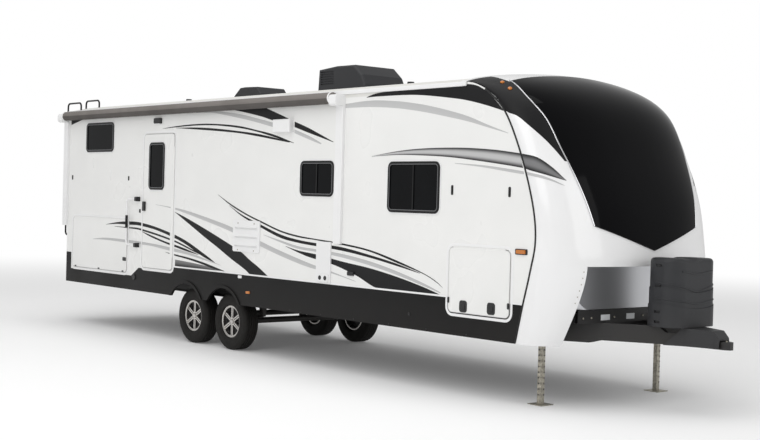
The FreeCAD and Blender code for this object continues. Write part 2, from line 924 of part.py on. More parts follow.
def leaf_spring(station):
    """A bowed leaf pack over one axle on the door side."""
    y = -rail_offset
    low = tyre_radius + axle_tube_radius + fit_gap
    sag = 45.0
    start = V(station - spring_half_length, y, low + sag)
    end = V(station + spring_half_length, y, low + sag)
    under = Part.Arc(start, V(station, y, low), end).toShape()
    lift = V(0, 0, spring_leaf_height)
    over = Part.Arc(start + lift, V(station, y, low) + lift, end + lift).toShape()
    ends = [Part.LineSegment(start, start + lift).toShape(), Part.LineSegment(end, end + lift).toShape()]
    face = Part.Face(Part.Wire(Part.sortEdges([under, over] + ends)[0]))
    half = spring_leaf_width / 2
    return face.extrude(V(0, spring_leaf_width, 0)).translated(V(0, -half, 0))


def spring_hangers():
    """Plates from the rails down to the springs' eyes, both sides."""
    pieces = []
    low = tyre_radius + axle_tube_radius + 45.0 + spring_leaf_height + fit_gap
    middle = (rear_axle_station + front_axle_station) / 2
    for side in (-1, 1):
        y = side * rail_offset
        for x, width in (
            (rear_axle_station - spring_half_length + 35, 70.0),
            (middle, 200.0),
            (front_axle_station + spring_half_length - 35, 70.0),
        ):
            outline = [
                (x - width / 2, low),
                (x + width / 2, low),
                (x + width / 2 + 30, rail_bottom),
                (x - width / 2 - 30, rail_bottom),
            ]
            pieces.append(side_plate(outline, y - 25, y + 25))
    return Part.makeCompound(pieces)


def wheel_ring(station, y, radius):
    """A regular polygon round one axle, whose flats lie at the given radius."""
    reach = radius / math.cos(math.pi / tyre_facets)
    ring = []
    for index in range(tyre_facets):
        turn = 2 * math.pi * (index + 0.5) / tyre_facets
        ring.append(V(station + reach * math.sin(turn), y, tyre_radius - reach * math.cos(turn)))
    return ring


def tyre(station, side):
    """A trailer tyre with bulging walls, in flat facets so that four tyres stay light."""
    w = tyre_half_width
    profile = [
        (rim_radius + fit_gap, -w + 34),
        (rim_radius + 43.0, -w + 7),
        (tyre_radius - 38.0, -w + 1),
        (tyre_radius, -w + 24),
        (tyre_radius, w - 24),
        (tyre_radius - 38.0, w - 1),
        (rim_radius + 43.0, w - 7),
        (rim_radius + fit_gap, w - 34),
    ]
    rings = [wheel_ring(station, side * wheel_track_half + y, radius) for radius, y in profile]
    faces = []
    for first, second in zip(rings, rings[1:] + rings[:1]):
        for index in range(tyre_facets):
            after = (index + 1) % tyre_facets
            corners = [first[index], first[after], second[after], second[index], first[index]]
            faces.append(Part.Face(Part.makePolygon(corners)))
    return Part.makeSolid(Part.makeShell(faces))


def rim(station, side):
    """A cast wheel: barrel, hub and six pairs of spokes near the outer face."""
    centre = V(station, side * wheel_track_half, tyre_radius)
    out = V(0, side, 0)
    start = centre - out * rim_half_width
    barrel = Part.makeCylinder(rim_radius, 2 * rim_half_width, start, out)
    bore = Part.makeCylinder(rim_radius - rim_wall, 2 * rim_half_width + 2, start - out, out)
    face_depth = rim_half_width - spoke_inset
    hub_start = centre - out * 60
    wheel = barrel.cut(bore).fuse(Part.makeCylinder(hub_radius, face_depth + 60, hub_start, out))
    near = face_depth - spoke_depth
    for index in range(spoke_pairs):
        turn = 360.0 * index / spoke_pairs
        for shift in (-spoke_gap, spoke_gap):
            z0 = shift - spoke_width / 2
            z1 = shift + spoke_width / 2
            y0 = side * near
            y1 = side * face_depth
            bar = box(hub_radius - 12, rim_radius - rim_wall + 3, min(y0, y1), max(y0, y1), z0, z1)
            bar.rotate(V(0, 0, 0), V(0, 1, 0), turn + 30)
            wheel = wheel.fuse(bar.translated(centre))
    hole = Part.makeCylinder(spindle_radius + spindle_clearance, 110.0, centre - out * 100, out)
    cap = Part.makeCylinder(30.0, 12.0, centre + out * (face_depth - 1), out)
    return wheel.cut(hole).fuse(cap).removeSplitter()


def entry_door():
    """The door leaf with its window hole."""
    y0 = -half_width - 8.0
    leaf = rounded_panel(
        door_rear_edge + door_gap,
        door_front_edge - door_gap,
        door_bottom + door_gap,
        door_top - door_gap,
        corner_radius - door_gap,
        y0,
        y0 + door_thick,
    )
    leaf = leaf.cut(window_opening(door_window, y0 - 5, y0 + door_thick + 5))
    pin_y = -half_width - door_pin_radius - fit_gap
    low = door_bottom + 3 * corner_radius
    high = door_top - 3 * corner_radius
    pin = rod(V(door_front_edge, pin_y, low), V(door_front_edge, pin_y, high), door_pin_radius)
    strap = box(door_front_edge - 22, door_front_edge, y0 - 3, y0 + 2, low, high)
    return leaf.fuse(strap).fuse(pin).removeSplitter()


def door_handle():
    """The latch case on the door's rear edge."""
    y1 = -half_width - 8.0 - fit_gap
    return rounded_panel(2296.0, 2352.0, 1720.0, 1850.0, 12.0, y1 - 26.0, y1)


def hatch_leaf(x0, x1, z0, z1):
    """A baggage hatch leaf, a little proud of the wall."""
    y0 = -half_width - 6.0
    gap = hatch_gap
    leaf = rounded_panel(x0 + gap, x1 - gap, z0 + gap, z1 - gap, corner_radius - gap, y0, y0 + hatch_thick)
    pin_y = -half_width - hatch_pin_radius - fit_gap
    first = x0 + corner_radius + 10
    last = x1 - corner_radius - 10
    pin = rod(V(first, pin_y, z1), V(last, pin_y, z1), hatch_pin_radius)
    strap = box(first, last, y0 - 3, y0 + 2, z1 - 22, z1)
    return leaf.fuse(strap).fuse(pin).removeSplitter()


def slide_box():
    """The slide-out room's top, bottom and ends, open to the cabin."""
    y1 = half_width - fit_gap
    y0 = half_width - slide_depth
    outside = box(slide_rear, slide_front, y0, y1, slide_bottom, slide_top)
    t = slide_panel
    inside = box(slide_rear + t, slide_front - t, y0 - 5, y1 + 5, slide_bottom + t, slide_top - t)
    return outside.cut(inside)


def slide_wall():
    """The slide-out room's outer wall, whose flange laps the side wall."""
    lap = 35.0
    y0 = half_width + fit_gap
    plate = box(
        slide_rear - lap,
        slide_front + lap,
        y0,
        half_width + slide_flange,
        slide_bottom - lap,
        slide_top + lap,
    )
    return plate.cut(window_opening(slide_window, y0 - 5, half_width + slide_flange + 5))


def awning_roller():
    """The rolled fabric between the two arms."""
    y = -half_width - awning_offset
    return rod(V(awning_rear, y, awning_height), V(awning_front, y, awning_height), awning_radius)


def awning_arm(x0, x1, foot):
    """A flat arm on the wall, up to the head that holds the roller's end."""
    y1 = -half_width - fit_gap
    arm = box(x0, x1, y1 - 34, y1, foot, awning_height - 80)
    head_top = roof_edge_top - gutter_height - fit_gap
    head = box(x0, x1, -half_width - awning_offset - awning_radius, y1, awning_height - 90, head_top)
    round_edges = [e for e in head.Edges if e.BoundBox.XLength > 50 and e.BoundBox.YMax < y1 - 100]
    head = head.makeFillet(40.0, round_edges)
    return arm.fuse(head).removeSplitter()


def louvre_panel():
    """A vent panel with three horizontal louvres."""
    y1 = -half_width - fit_gap
    panel = rounded_panel(4530.0, 5110.0, 1270.0, 1660.0, 25.0, y1 - 14, y1)
    for z in louvre_heights:
        panel = panel.cut(box(4580.0, 5060.0, y1 - 20, y1 - 6, z, z + 22))
        hood = front_plate([(y1 - 13, z + 50), (y1 - 26, z + 20), (y1 - 13, z + 22)], 4580.0, 5060.0)
        panel = panel.fuse(hood)
    return panel.removeSplitter()


def utility_column():
    """The raised service cover with its outlet plate."""
    y1 = -half_width - fit_gap
    return box(6256.0, 6523.0, y1 - 16, y1, 990.0, 1465.0)


def light_box():
    """The white lamp and speaker box below the awning."""
    y1 = -half_width - fit_gap
    case = box(5400.0, 5740.0, y1 - 70, y1, 2730.0, 2886.0)
    return case.makeFillet(12.0, [e for e in case.Edges if e.BoundBox.YMax < y1 - 5])


def grab_handle():
    """The tall entry grab handle, folded back on the wall clear of the door's swing."""
    y1 = -half_width - fit_gap
    brackets = []
    for z in (handle_bottom, handle_top):
        brackets.append(
            box(
                handle_station - handle_bracket / 2,
                handle_station + handle_bracket / 2,
                y1 - handle_stand_off - handle_radius,
                y1,
                z - 35,
                z + 35,
            )
        )
    reach = V(-handle_reach, 0, 0)
    low = V(handle_station, y1 - handle_stand_off, handle_bottom)
    high = V(handle_station, y1 - handle_stand_off, handle_top)
    tube = bent_tube([low, low + reach, high + reach, high], handle_radius, 60.0)
    return brackets[0].fuse(brackets[1]).fuse(tube).removeSplitter()


def air_conditioner():
    """The roof cooler: a moulded case with a sloping front and a louvred bay near its rear end."""
    base = roof_crown - 12.0
    top = roof_crown + cooler_height
    front = cooler_rear + cooler_length
    half = cooler_half_width
    profile = [
        (cooler_rear + 15, base),
        (cooler_rear, base + 60),
        (cooler_rear + 15, top - 28),
        (cooler_rear + 360, top),
        (front - 215, top - 4),
        (front - 60, top - 130),
        (front, base + 60),
        (front, base),
    ]
    block = side_plate(profile, -half, half)
    shoulders = [e for e in block.Edges if e.BoundBox.YLength < 1 and e.BoundBox.ZMin > base + 50]
    block = block.makeFillet(38.0, shoulders)
    for side in (-1, 1):
        for index in range(cooler_louvres):
            z = base + 78 + index * 30
            y0 = side * (half - 14)
            y1 = side * (half + 1)
            block = block.cut(box(cooler_rear + 70, cooler_rear + 330, min(y0, y1), max(y0, y1), z, z + 15))
    return block.cut(roof().translated(V(0, 0, fit_gap)))


def roof_vent_cover():
    """The low hooded cover over the middle vent."""
    base = roof_crown - 12.0
    top = roof_crown + vent_height
    front = vent_rear + vent_length
    half = vent_half_width
    profile = [
        (vent_rear, base),
        (vent_rear, base + 50),
        (vent_rear + 130, top - 6),
        (vent_rear + 240, top),
        (front - 90, top - 8),
        (front, base + 50),
        (front, base),
    ]
    block = side_plate(profile, -half, half)
    shoulders = [e for e in block.Edges if e.BoundBox.YLength < 1 and e.BoundBox.ZMin > base + 45]
    block = block.makeFillet(24.0, shoulders)
    return block.cut(roof().translated(V(0, 0, fit_gap)))


def small_vents():
    """Two low plumbing vents."""
    pieces = []
    for x in plumbing_vents:
        vent = Part.makeCone(55.0, 40.0, 70.0, V(x, 0, roof_crown - 5.0))
        pieces.append(vent.cut(roof().translated(V(0, 0, fit_gap))))
    return pieces


def ladder():
    """The rear ladder: two rails that hook over the roof, with rungs."""
    rails = []
    stand_off = -ladder_stand_off
    ys = (-ladder_outer, -ladder_outer + ladder_width)
    for y in ys:
        z_roof = roof_height(y)
        points = [
            V(-fit_gap, y, ladder_foot),
            V(stand_off, y, ladder_foot),
            V(stand_off, y, z_roof + ladder_hook_rise),
            V(ladder_hook_depth, y, z_roof + ladder_hook_rise),
            V(ladder_hook_depth, y, z_roof - 6.0),
        ]
        rails.append(bent_tube(points, ladder_tube_radius, 55.0))
    frame = rails[0].fuse(rails[1])
    for index in range(ladder_rungs):
        z = ladder_foot + 200 + index * ladder_rung_pitch
        frame = frame.fuse(rod(V(stand_off, ys[0], z), V(stand_off, ys[1], z), 12.0))
    return frame.cut(roof().translated(V(0, 0, fit_gap))).removeSplitter()


def bumper():
    """A square tube across the rear on two stubs."""
    inner = bumper_size - bumper_wall
    z0 = rail_bottom
    x0 = bumper_rear
    half = bumper_half_width
    outer = box(x0, x0 + bumper_size, -half, half, z0, z0 + bumper_size)
    hollow = box(x0 + bumper_wall, x0 + inner, -half - 1, half + 1, z0 + bumper_wall, z0 + inner)
    tube = outer.cut(hollow)
    for side in (-1, 1):
        y = side * (bumper_half_width - 450.0)
        tube = tube.fuse(box(x0 + bumper_size, -fit_gap, y - 40, y + 40, z0 + 10, z0 + 80))
    return tube.removeSplitter()


def write(name, shape):
    """Move one shape to the part's origin and write it."""
    moved = shape.translated(V(-origin_station, 0, 0))
    solids = moved.Solids
    piece = solids[0] if len(solids) == 1 else Part.makeCompound(solids)
    piece.exportStep("parts/" + name + ".step")
    print(name, len(solids), piece.isValid(), round(sum(s.Volume for s in solids) / 1e9, 5))


os.makedirs("parts", exist_ok=True)

write("chassis_rails", pair(chassis_rail()))
cross_pieces = crossmembers() + outriggers() + header_brackets() + [chin_beam()]
write("chassis_crossmembers", Part.makeCompound(cross_pieces))
write("hitch_frame_right", hitch_channel())
write("hitch_frame_left", mirrored(hitch_channel()))
write("ball_coupler", coupler())
write("hitch_frame_cover", hitch_hood())
write("gas_bottle_cover", gas_cover())
write("front_legs", pair(leg()))
write("rear_legs", pair(stowed_leg()))
write("rear_bumper", bumper())
write("axles", Part.makeCompound([axle(rear_axle_station), axle(front_axle_station)]))
springs = [leaf_spring(x) for x in (rear_axle_station, front_axle_station)]
write("leaf_springs", Part.makeCompound(springs + [mirrored(s) for s in springs]))
write("spring_hangers", spring_hangers())
write("cabin_floor", floor())
write("side_wall_right", side_wall(True))
write("side_wall_left", side_wall(False))
write("rear_wall", rear_wall())
write("rear_skirt", rear_skirt())
write("roof_panel", roof())
write("roof_gutters", pair(gutter()))
write("front_cap", front_cap())
write("nose_panel", windshield_panel())
write("chin_panel", chin_panel())
write("skirt_right", skirt(True))
write("skirt_left", skirt(False))

window_places = [(w, -1) for w in (bunk_window, lounge_window, bedroom_window)]
window_places += [(w, 1) for w in (bunk_window, bedroom_window)]
frames = [window_frame(w, side * half_width, wall, side) for w, side in window_places]
panes = [window_pane(w, side * half_width, side) for w, side in window_places]
write("window_frames", Part.makeCompound(frames))
write("window_panes", Part.makeCompound(panes))

write("entry_door", entry_door())
write("entry_door_window_frame", window_frame(door_window, -half_width - 8.0, door_thick, -1))
write("entry_door_pane", window_pane(door_window, -half_width - 8.0, -1))
write("entry_door_latch", door_handle())
write("kitchen_hatch", hatch_leaf(kitchen_rear, kitchen_front, kitchen_bottom, kitchen_top))
write("storage_hatch_right", hatch_leaf(storage_rear, storage_front, storage_bottom, storage_top))
write("storage_hatch_left", mirrored(hatch_leaf(storage_rear, storage_front, storage_bottom, storage_top)))
write("slide_room_box", slide_box())
write("slide_room_wall", slide_wall())
write("slide_room_window_frame", window_frame(slide_window, half_width + slide_flange, slide_flange, 1))
write("slide_room_pane", window_pane(slide_window, half_width + slide_flange, 1))
write("grab_handle", grab_handle())
write("awning_roller", awning_roller())
rear_arm = awning_arm(awning_rear - awning_arm_width - fit_gap, awning_rear - fit_gap, awning_arm_foot)
front_arm = awning_arm(awning_front + fit_gap, awning_front + fit_gap + awning_arm_width, awning_arm_foot)
write("awning_arms", Part.makeCompound([rear_arm, front_arm]))
write("louvre_panel", louvre_panel())
write("utility_column", utility_column())
write("light_box", light_box())
write("roof_cooler", air_conditioner())
write("roof_vents", Part.makeCompound([roof_vent_cover()] + small_vents()))
write("rear_ladder", ladder())

for place, station in (("rear", rear_axle_station), ("front", front_axle_station)):
    for name, side in (("right", -1), ("left", 1)):
        write("tyre_" + place + "_" + name, tyre(station, side))
        write("rim_" + place + "_" + name, rim(station, side))
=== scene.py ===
import logging
import math
from dataclasses import dataclass
from enum import Enum

import bmesh
import bpy
from mathutils import Matrix, Vector
from mathutils.bvhtree import BVHTree


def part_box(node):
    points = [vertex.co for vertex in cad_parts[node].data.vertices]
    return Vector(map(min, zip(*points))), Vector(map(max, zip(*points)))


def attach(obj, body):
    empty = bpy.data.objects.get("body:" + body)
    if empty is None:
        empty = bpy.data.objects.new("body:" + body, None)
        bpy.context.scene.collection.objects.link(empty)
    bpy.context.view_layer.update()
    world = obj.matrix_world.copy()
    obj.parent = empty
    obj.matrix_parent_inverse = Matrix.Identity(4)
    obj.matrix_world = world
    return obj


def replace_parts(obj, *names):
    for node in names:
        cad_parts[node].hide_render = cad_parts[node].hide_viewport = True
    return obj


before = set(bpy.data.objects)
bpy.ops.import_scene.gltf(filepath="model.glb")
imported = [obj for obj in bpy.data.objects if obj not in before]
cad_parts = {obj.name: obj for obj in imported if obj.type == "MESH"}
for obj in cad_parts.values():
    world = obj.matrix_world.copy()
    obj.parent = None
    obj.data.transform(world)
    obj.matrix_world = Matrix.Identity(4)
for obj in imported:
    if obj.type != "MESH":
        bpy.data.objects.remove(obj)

LOG = logging.getLogger("travel_caravan")
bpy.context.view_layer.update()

MM = 0.001
ORIGIN_STATION = 5.455
HALF_WIDTH = 1.22
DECAL_LIFT = 0.0008
DOOR_FACE = HALF_WIDTH + 0.008
HATCH_FACE = HALF_WIDTH + 0.006
SLIDE_FACE = HALF_WIDTH + 0.040
WHITE = (1.0, 1.0, 1.0, 1.0)
AHEAD = Vector((1, 0, 0))
ACROSS = Vector((0, 1, 0))
UP = Vector((0, 0, 1))
# How far clear of a face the back of a fitting lies, so that the two don't share a plane
SEAT = 0.0002
ROAD_DUST = "#8a8276"
# Where rays onto the cap start from: ahead of it, beside it and over it
FROM_AHEAD = 6.0
FROM_BESIDE = 2.0
FROM_ABOVE = 5.0


class Body(str, Enum):
    """The CAD bodies that pieces ride on."""

    TRAILER = "trailer"
    DOOR = "door_leaf"
    KITCHEN = "kitchen_lid"
    STORE_RIGHT = "storage_lid_right"
    STORE_LEFT = "storage_lid_left"
    SLIDE = "slide_room"


class Side(Enum):
    """The two long sides, as the sign of Y."""

    DOOR = -1
    OFF = 1


def station(x: float) -> float:
    """Turn a distance from the rear wall into the frame's X."""
    return x - ORIGIN_STATION


def linear_rgb(hex_code: str, alpha: float = 1.0) -> tuple:
    """Turn an sRGB hex colour into linear values.

    Args:
        hex_code: Six hex digits with or without a hash.
        alpha: The fourth value to return.

    Returns:
        Red, green, blue and alpha as linear numbers.
    """
    digits = hex_code.lstrip("#")
    values = [int(digits[i:i + 2], 16) / 255 for i in (0, 2, 4)]
    return tuple(v / 12.92 if v <= 0.04045 else ((v + 0.055) / 1.055) ** 2.4 for v in values) + (alpha,)


def add_node(tree, kind: str, inputs: dict | None = None, links: dict | None = None, **settings):
    """Add one shader node with its settings and links.

    Args:
        tree: The node tree that gets the node.
        kind: The node's type name.
        inputs: Values for input sockets, by name or index.
        links: Output sockets to link into input sockets, by name or index.
        settings: Attributes of the node itself.

    Returns:
        The new node.
    """
    node = tree.nodes.new(kind)
    for name, value in settings.items():
        setattr(node, name, value)
    for name, value in (inputs or {}).items():
        node.inputs[name].default_value = value
    for name, socket in (links or {}).items():
        tree.links.new(socket, node.inputs[name])
    return node


def add_noise(tree, vector, size_mm: float, detail: float, roughness: float | None = None):
    """Add noise of one grain size.

    Args:
        tree: The node tree that gets the node.
        vector: The coordinate socket.
        size_mm: The noise's size in millimetres.
        detail: How many finer layers it has.
        roughness: How strong the finer layers are, where it isn't the node's own value.

    Returns:
        The noise's value socket.
    """
    inputs = {"Scale": 1.0 / (size_mm * MM), "Detail": detail}
    if roughness is not None:
        inputs["Roughness"] = roughness
    return add_node(tree, "ShaderNodeTexNoise", inputs, {"Vector": vector}).outputs[0]


def add_range(tree, value, limits: dict, **settings):
    """Map a value from one range to another and return the result's socket."""
    return add_node(tree, "ShaderNodeMapRange", limits, {"Value": value}, **settings).outputs[0]


def add_mix(tree, share, first, second: str):
    """Mix two colours.

    Args:
        tree: The node tree that gets the node.
        share: The socket that says how much of the second colour shows.
        first: The first colour, as a hex code or a socket.
        second: The second colour's hex code.

    Returns:
        The mixed colour's socket.
    """
    inputs = {7: linear_rgb(second)}
    links = {0: share}
    if isinstance(first, str):
        inputs[6] = linear_rgb(first)
    else:
        links[6] = first
    return add_node(tree, "ShaderNodeMix", inputs, links, data_type="RGBA").outputs[2]


@dataclass(frozen=True)
class Finish:
    """One surface finish: a base material, how its surface was made and what shows of it.

    The grain is bump noise whose size is given in millimetres, the mottle varies the colour
    softly over a larger size, and the soil darkens it a little towards the ground.
    """

    name: str
    colour: str
    second: str | None = None
    roughness: float = 0.5
    roughness_swing: float = 0.06
    metallic: float = 0.0
    ior: float = 1.5
    coat: float = 0.0
    coat_roughness: float = 0.05
    grain_mm: float = 1.0
    grain_depth: float = 0.05
    grain_stretch: tuple = (1.0, 1.0, 1.0)
    mottle_mm: float = 600.0
    mottle_share: float = 0.5
    soil: float = 0.0
    emission: float = 0.0
    least_depth: float = 0.005

    def material(self):
        """Build the node material once and hand out the same one later.

        Returns:
            The Blender material.
        """
        known = bpy.data.materials.get(self.name)
        if known:
            return known
        made = bpy.data.materials.new(self.name)
        made.use_nodes = True
        tree = made.node_tree
        tree.nodes.clear()
        out = add_node(tree, "ShaderNodeOutputMaterial")
        settings = {"Metallic": self.metallic, "Coat Weight": self.coat}
        settings |= {"Coat Roughness": self.coat_roughness, "Emission Strength": self.emission}
        shader = add_node(tree, "ShaderNodeBsdfPrincipled", settings)
        if self.metallic < 0.5:
            shader.inputs["IOR"].default_value = self.ior
        tree.links.new(shader.outputs[0], out.inputs["Surface"])
        self.dress(tree, shader)
        made.diffuse_color = linear_rgb(self.colour)
        return made

    def dress(self, tree, shader) -> None:
        """Link colour, roughness and bump into the shader.

        Args:
            tree: The material's node tree.
            shader: Its Principled node.
        """
        place = add_node(tree, "ShaderNodeTexCoord").outputs["Object"]
        stretched = add_node(
            tree, "ShaderNodeMapping", {"Scale": self.grain_stretch}, {"Vector": place}
        ).outputs[0]
        grain = add_noise(tree, stretched, self.grain_mm, 4.0, 0.6)
        mottle = add_noise(tree, place, self.mottle_mm, 1.5, 0.5)
        share = add_range(
            tree, mottle, {"From Min": 0.35, "From Max": 0.65, "To Max": self.mottle_share}
        )
        colour = add_mix(tree, share, self.colour, self.second or self.colour)
        if self.soil:
            colour = self.soiled(tree, place, mottle, colour)
        tree.links.new(colour, shader.inputs["Base Color"])
        if self.emission:
            tree.links.new(colour, shader.inputs["Emission Color"])
        low = max(0.0, self.roughness - self.roughness_swing)
        high = min(1.0, self.roughness + self.roughness_swing)
        limits = {"From Min": 0.3, "From Max": 0.7, "To Min": low, "To Max": high}
        tree.links.new(add_range(tree, mottle, limits), shader.inputs["Roughness"])
        if self.grain_depth < self.least_depth:
            return
        settings = {"Strength": 1.0, "Distance": self.grain_depth * MM}
        bump = add_node(tree, "ShaderNodeBump", settings, {"Height": grain}).outputs[0]
        tree.links.new(bump, shader.inputs["Normal"])

    def soiled(self, tree, place, mottle, colour):
        """Darken the colour a little near the ground, where spray reaches.

        Args:
            tree: The material's node tree.
            place: The object coordinate socket.
            mottle: The soft noise socket.
            colour: The clean colour socket.

        Returns:
            The colour socket with soil on it.
        """
        height = add_node(tree, "ShaderNodeSeparateXYZ", links={0: place}).outputs[2]
        low = add_range(tree, height, {"From Min": 1.1, "From Max": 0.3, "To Max": self.soil})
        patchy = add_node(
            tree, "ShaderNodeMath", links={0: low, 1: mottle}, operation="MULTIPLY"
        ).outputs[0]
        return add_mix(tree, patchy, colour, ROAD_DUST)


@dataclass(frozen=True)
class TintedGlass(Finish):
    """Dark tinted safety glass: nearly black, with a mirror-like face."""

    def dress(self, tree, shader) -> None:
        """Keep the face smooth, and vary the tint a little as the room behind does.

        Args:
            tree: The material's node tree.
            shader: Its Principled node.
        """
        place = add_node(tree, "ShaderNodeTexCoord").outputs["Object"]
        room = add_noise(tree, place, self.mottle_mm, 2.0)
        tint = add_mix(tree, room, self.colour, self.second or self.colour)
        tree.links.new(tint, shader.inputs["Base Color"])
        shader.inputs["Roughness"].default_value = self.roughness


@dataclass(frozen=True)
class FadedVinyl(Finish):
    """Cut vinyl film printed with a fade across its width, from one grey to another.

    A folded fade runs from one grey at both edges to the other in the middle, like light on a tube.
    """

    folded: bool = False
    fold_width: float = 0.42

    def dress(self, tree, shader) -> None:
        """Mix the two greys across the strip's UV, and keep the film smooth.

        Args:
            tree: The material's node tree.
            shader: Its Principled node.
        """
        place = add_node(tree, "ShaderNodeTexCoord").outputs["UV"]
        across = add_node(tree, "ShaderNodeSeparateXYZ", links={0: place}).outputs[1]
        if self.folded:
            across = add_node(
                tree, "ShaderNodeMath", {1: 0.5}, {0: across}, operation="PINGPONG"
            ).outputs[0]
        limits = {"From Max": self.fold_width if self.folded else 1.0}
        share = add_range(tree, across, limits, interpolation_type="SMOOTHSTEP")
        colour = add_mix(tree, share, self.colour, self.second or self.colour)
        tree.links.new(colour, shader.inputs["Base Color"])
        shader.inputs["Roughness"].default_value = self.roughness


# Gel coat over moulded glass fibre: polished, so it mirrors the studio softly
GEL_COAT = Finish(
    "gel_coat_moulded", "#f1f1f1", "#ececed", 0.22, 0.03, coat=0.5, grain_mm=18, grain_depth=0.0,
    soil=0.06
)
# Smooth laminated glass fibre sheet: flatter and a touch duller than the cap
LAMINATE = Finish(
    "fibreglass_laminate_smooth", "#eeeeec", "#e9e9e7", 0.30, 0.04, coat=0.35, grain_mm=30,
    grain_depth=0.0, soil=0.08
)
# Rubber roof membrane: matt and slightly chalky
MEMBRANE = Finish(
    "roof_membrane_rolled", "#e3e2de", "#d6d4cf", 0.85, 0.08, grain_mm=3, grain_depth=0.15
)
# Coil-coated aluminium sheet in black: satin, with faint dust low down
SKIRT = Finish(
    "aluminium_coil_coated_black", "#121213", "#161617", 0.42, 0.08, ior=1.25, grain_mm=25,
    grain_depth=0.12, soil=0.08
)
# Back-painted acrylic nose panel: deep gloss black
NOSE = Finish(
    "acrylic_cast_black", "#08080a", "#0b0b0d", 0.08, 0.02, ior=1.16, grain_mm=120, grain_depth=0.01
)
# Powder-coated steel of the frame: black and slightly rough
FRAME_STEEL = Finish(
    "steel_powder_coated_black", "#1b1b1c", "#242322", 0.5, 0.1, grain_mm=1.2, grain_depth=0.06,
    soil=0.12
)
# Hot-dip galvanised steel: pale, with cloudy spangles
GALVANISED = Finish(
    "steel_galvanised", "#b9b4a6", "#98948a", 0.48, 0.12, metallic=0.85, mottle_mm=18, mottle_share=0.9,
    grain_mm=2, grain_depth=0.04
)
# Moulded polyethylene: dark grey with a fine leather-like grain
DARK_MOULDING = Finish(
    "polyethylene_moulded_grained", "#222326", "#27282b", 0.52, 0.06, grain_mm=2.5, grain_depth=0.12,
    soil=0.1
)
# Window frames: black anodised aluminium
FRAME_BLACK = Finish(
    "aluminium_anodised_black", "#0f0f10", "#141415", 0.35, 0.06, ior=1.35, grain_mm=0.8,
    grain_depth=0.02
)
# White ABS mouldings: satin
WHITE_ABS = Finish(
    "abs_moulded_white", "#eeeeee", "#e8e8e8", 0.38, 0.05, grain_mm=1.5, grain_depth=0.03, soil=0.08
)
# White powder-coated aluminium of the awning and rails
WHITE_POWDER = Finish(
    "aluminium_powder_coated_white", "#efefef", "#eaeaea", 0.34, 0.05, grain_mm=1.5, grain_depth=0.03
)
# Black ABS of latches, brackets and lamp cases
BLACK_ABS = Finish("abs_moulded_black", "#161617", "#1c1c1d", 0.4, 0.06, grain_mm=1.0, grain_depth=0.04)
# Rubber bulb of the seam and gaskets
SEAL = Finish("rubber_extruded_black", "#0f0f10", "#151515", 0.6, 0.06, grain_mm=2, grain_depth=0.05)
# Vulcanised tyre rubber: dark grey-brown, dry
TYRE = Finish(
    "rubber_vulcanised_tyre", "#191816", "#22201e", 0.72, 0.08, ior=1.35, grain_mm=1.6,
    grain_depth=0.10, mottle_mm=60, mottle_share=0.7
)
# Machined cast aluminium of the wheel faces
MACHINED = Finish(
    "aluminium_machined_lacquered", "#c9c6c2", "#b7b4b0", 0.26, 0.05, metallic=1.0, coat=0.3,
    grain_mm=0.6, grain_depth=0.01
)
# Painted pockets between the spokes; the same dark grey is painted shade in the legs' pin holes
POCKET = Finish(
    "aluminium_cast_painted_grey", "#2b2b2d", "#333335", 0.45, 0.06, metallic=0.3, grain_mm=1.0,
    grain_depth=0.04
)
# Brushed aluminium sheet of the chin, brushed across
BRUSHED = Finish(
    "aluminium_brushed", "#d0d1d4", "#c8c9cc", 0.34, 0.02, metallic=1.0, grain_mm=1.5,
    grain_depth=0.002, grain_stretch=(1.0, 0.02, 1.0), mottle_mm=4000
)
# Acrylic-coated polyester, rolled: grey-brown, matt weave
AWNING = Finish(
    "polyester_acrylic_coated_woven", "#7b7672", "#6b6662", 0.85, 0.05, grain_mm=1.2, grain_depth=0.15,
    mottle_mm=300
)
# Woven polypropylene sheet that closes the floor from below: black, with a dull weave
UNDERBELLY = Finish(
    "polypropylene_woven_black", "#1d1d1e", "#252526", 0.7, 0.08, grain_mm=4, grain_depth=0.1, soil=0.1
)
# Amber acrylic lens
AMBER = Finish(
    "acrylic_moulded_amber", "#b9680f", "#c97a18", 0.2, 0.05, coat=0.6, grain_mm=4, grain_depth=0.2,
    emission=0.05
)
# Red acrylic lens of the tail lamps
RED_LENS = Finish(
    "acrylic_moulded_red", "#8f1512", "#a51d18", 0.2, 0.05, coat=0.6, grain_mm=4, grain_depth=0.2
)
# Tinted safety glass
GLASS = TintedGlass("glass_tinted_tempered", "#08090a", "#131416", 0.05, ior=1.2, mottle_mm=400)
# Cut vinyl films of the side stripes: plain black and grey, and three printed fades
VINYL_BLACK = FadedVinyl("vinyl_cut_black", "#1b1b1c", "#1e1e1f", 0.4, ior=1.25)
VINYL_GREY = FadedVinyl("vinyl_cut_grey", "#c0c0c0", "#bcbcbc", 0.4, ior=1.3)
VINYL_TUBE = FadedVinyl("vinyl_printed_tube", "#262627", "#bdbdbd", 0.4, ior=1.3, folded=True)
VINYL_TUBE_END = FadedVinyl("vinyl_printed_tube_end", "#202021", "#7a7a7b", 0.4, ior=1.3, folded=True)
VINYL_RISE = FadedVinyl("vinyl_printed_rise", "#1c1c1d", "#7c7c7c", 0.4, ior=1.3)
# Polished aluminium bead round the nose panel
ALLOY_BEAD = Finish(
    "aluminium_extruded_polished", "#dcdcde", "#cfcfd1", 0.2, 0.05, metallic=1.0, grain_mm=0.6,
    grain_depth=0.01
)
# Glazing bead inside the window frames: grey, as a painted highlight on the black frame
BEAD_HIGHLIGHT_GREY = Finish(
    "rubber_extruded_grey", "#77787a", "#6d6e70", 0.55, 0.06, grain_mm=2, grain_depth=0.04
)
# Grey line just inside the door's and hatches' edges: painted shadow of the shut gap
GAP_SHADOW_GREY = Finish(
    "gap_painted_shadow_grey", "#c9c9c8", "#bfbfbe", 0.42, 0.06, grain_mm=1.5, grain_depth=0.03
)
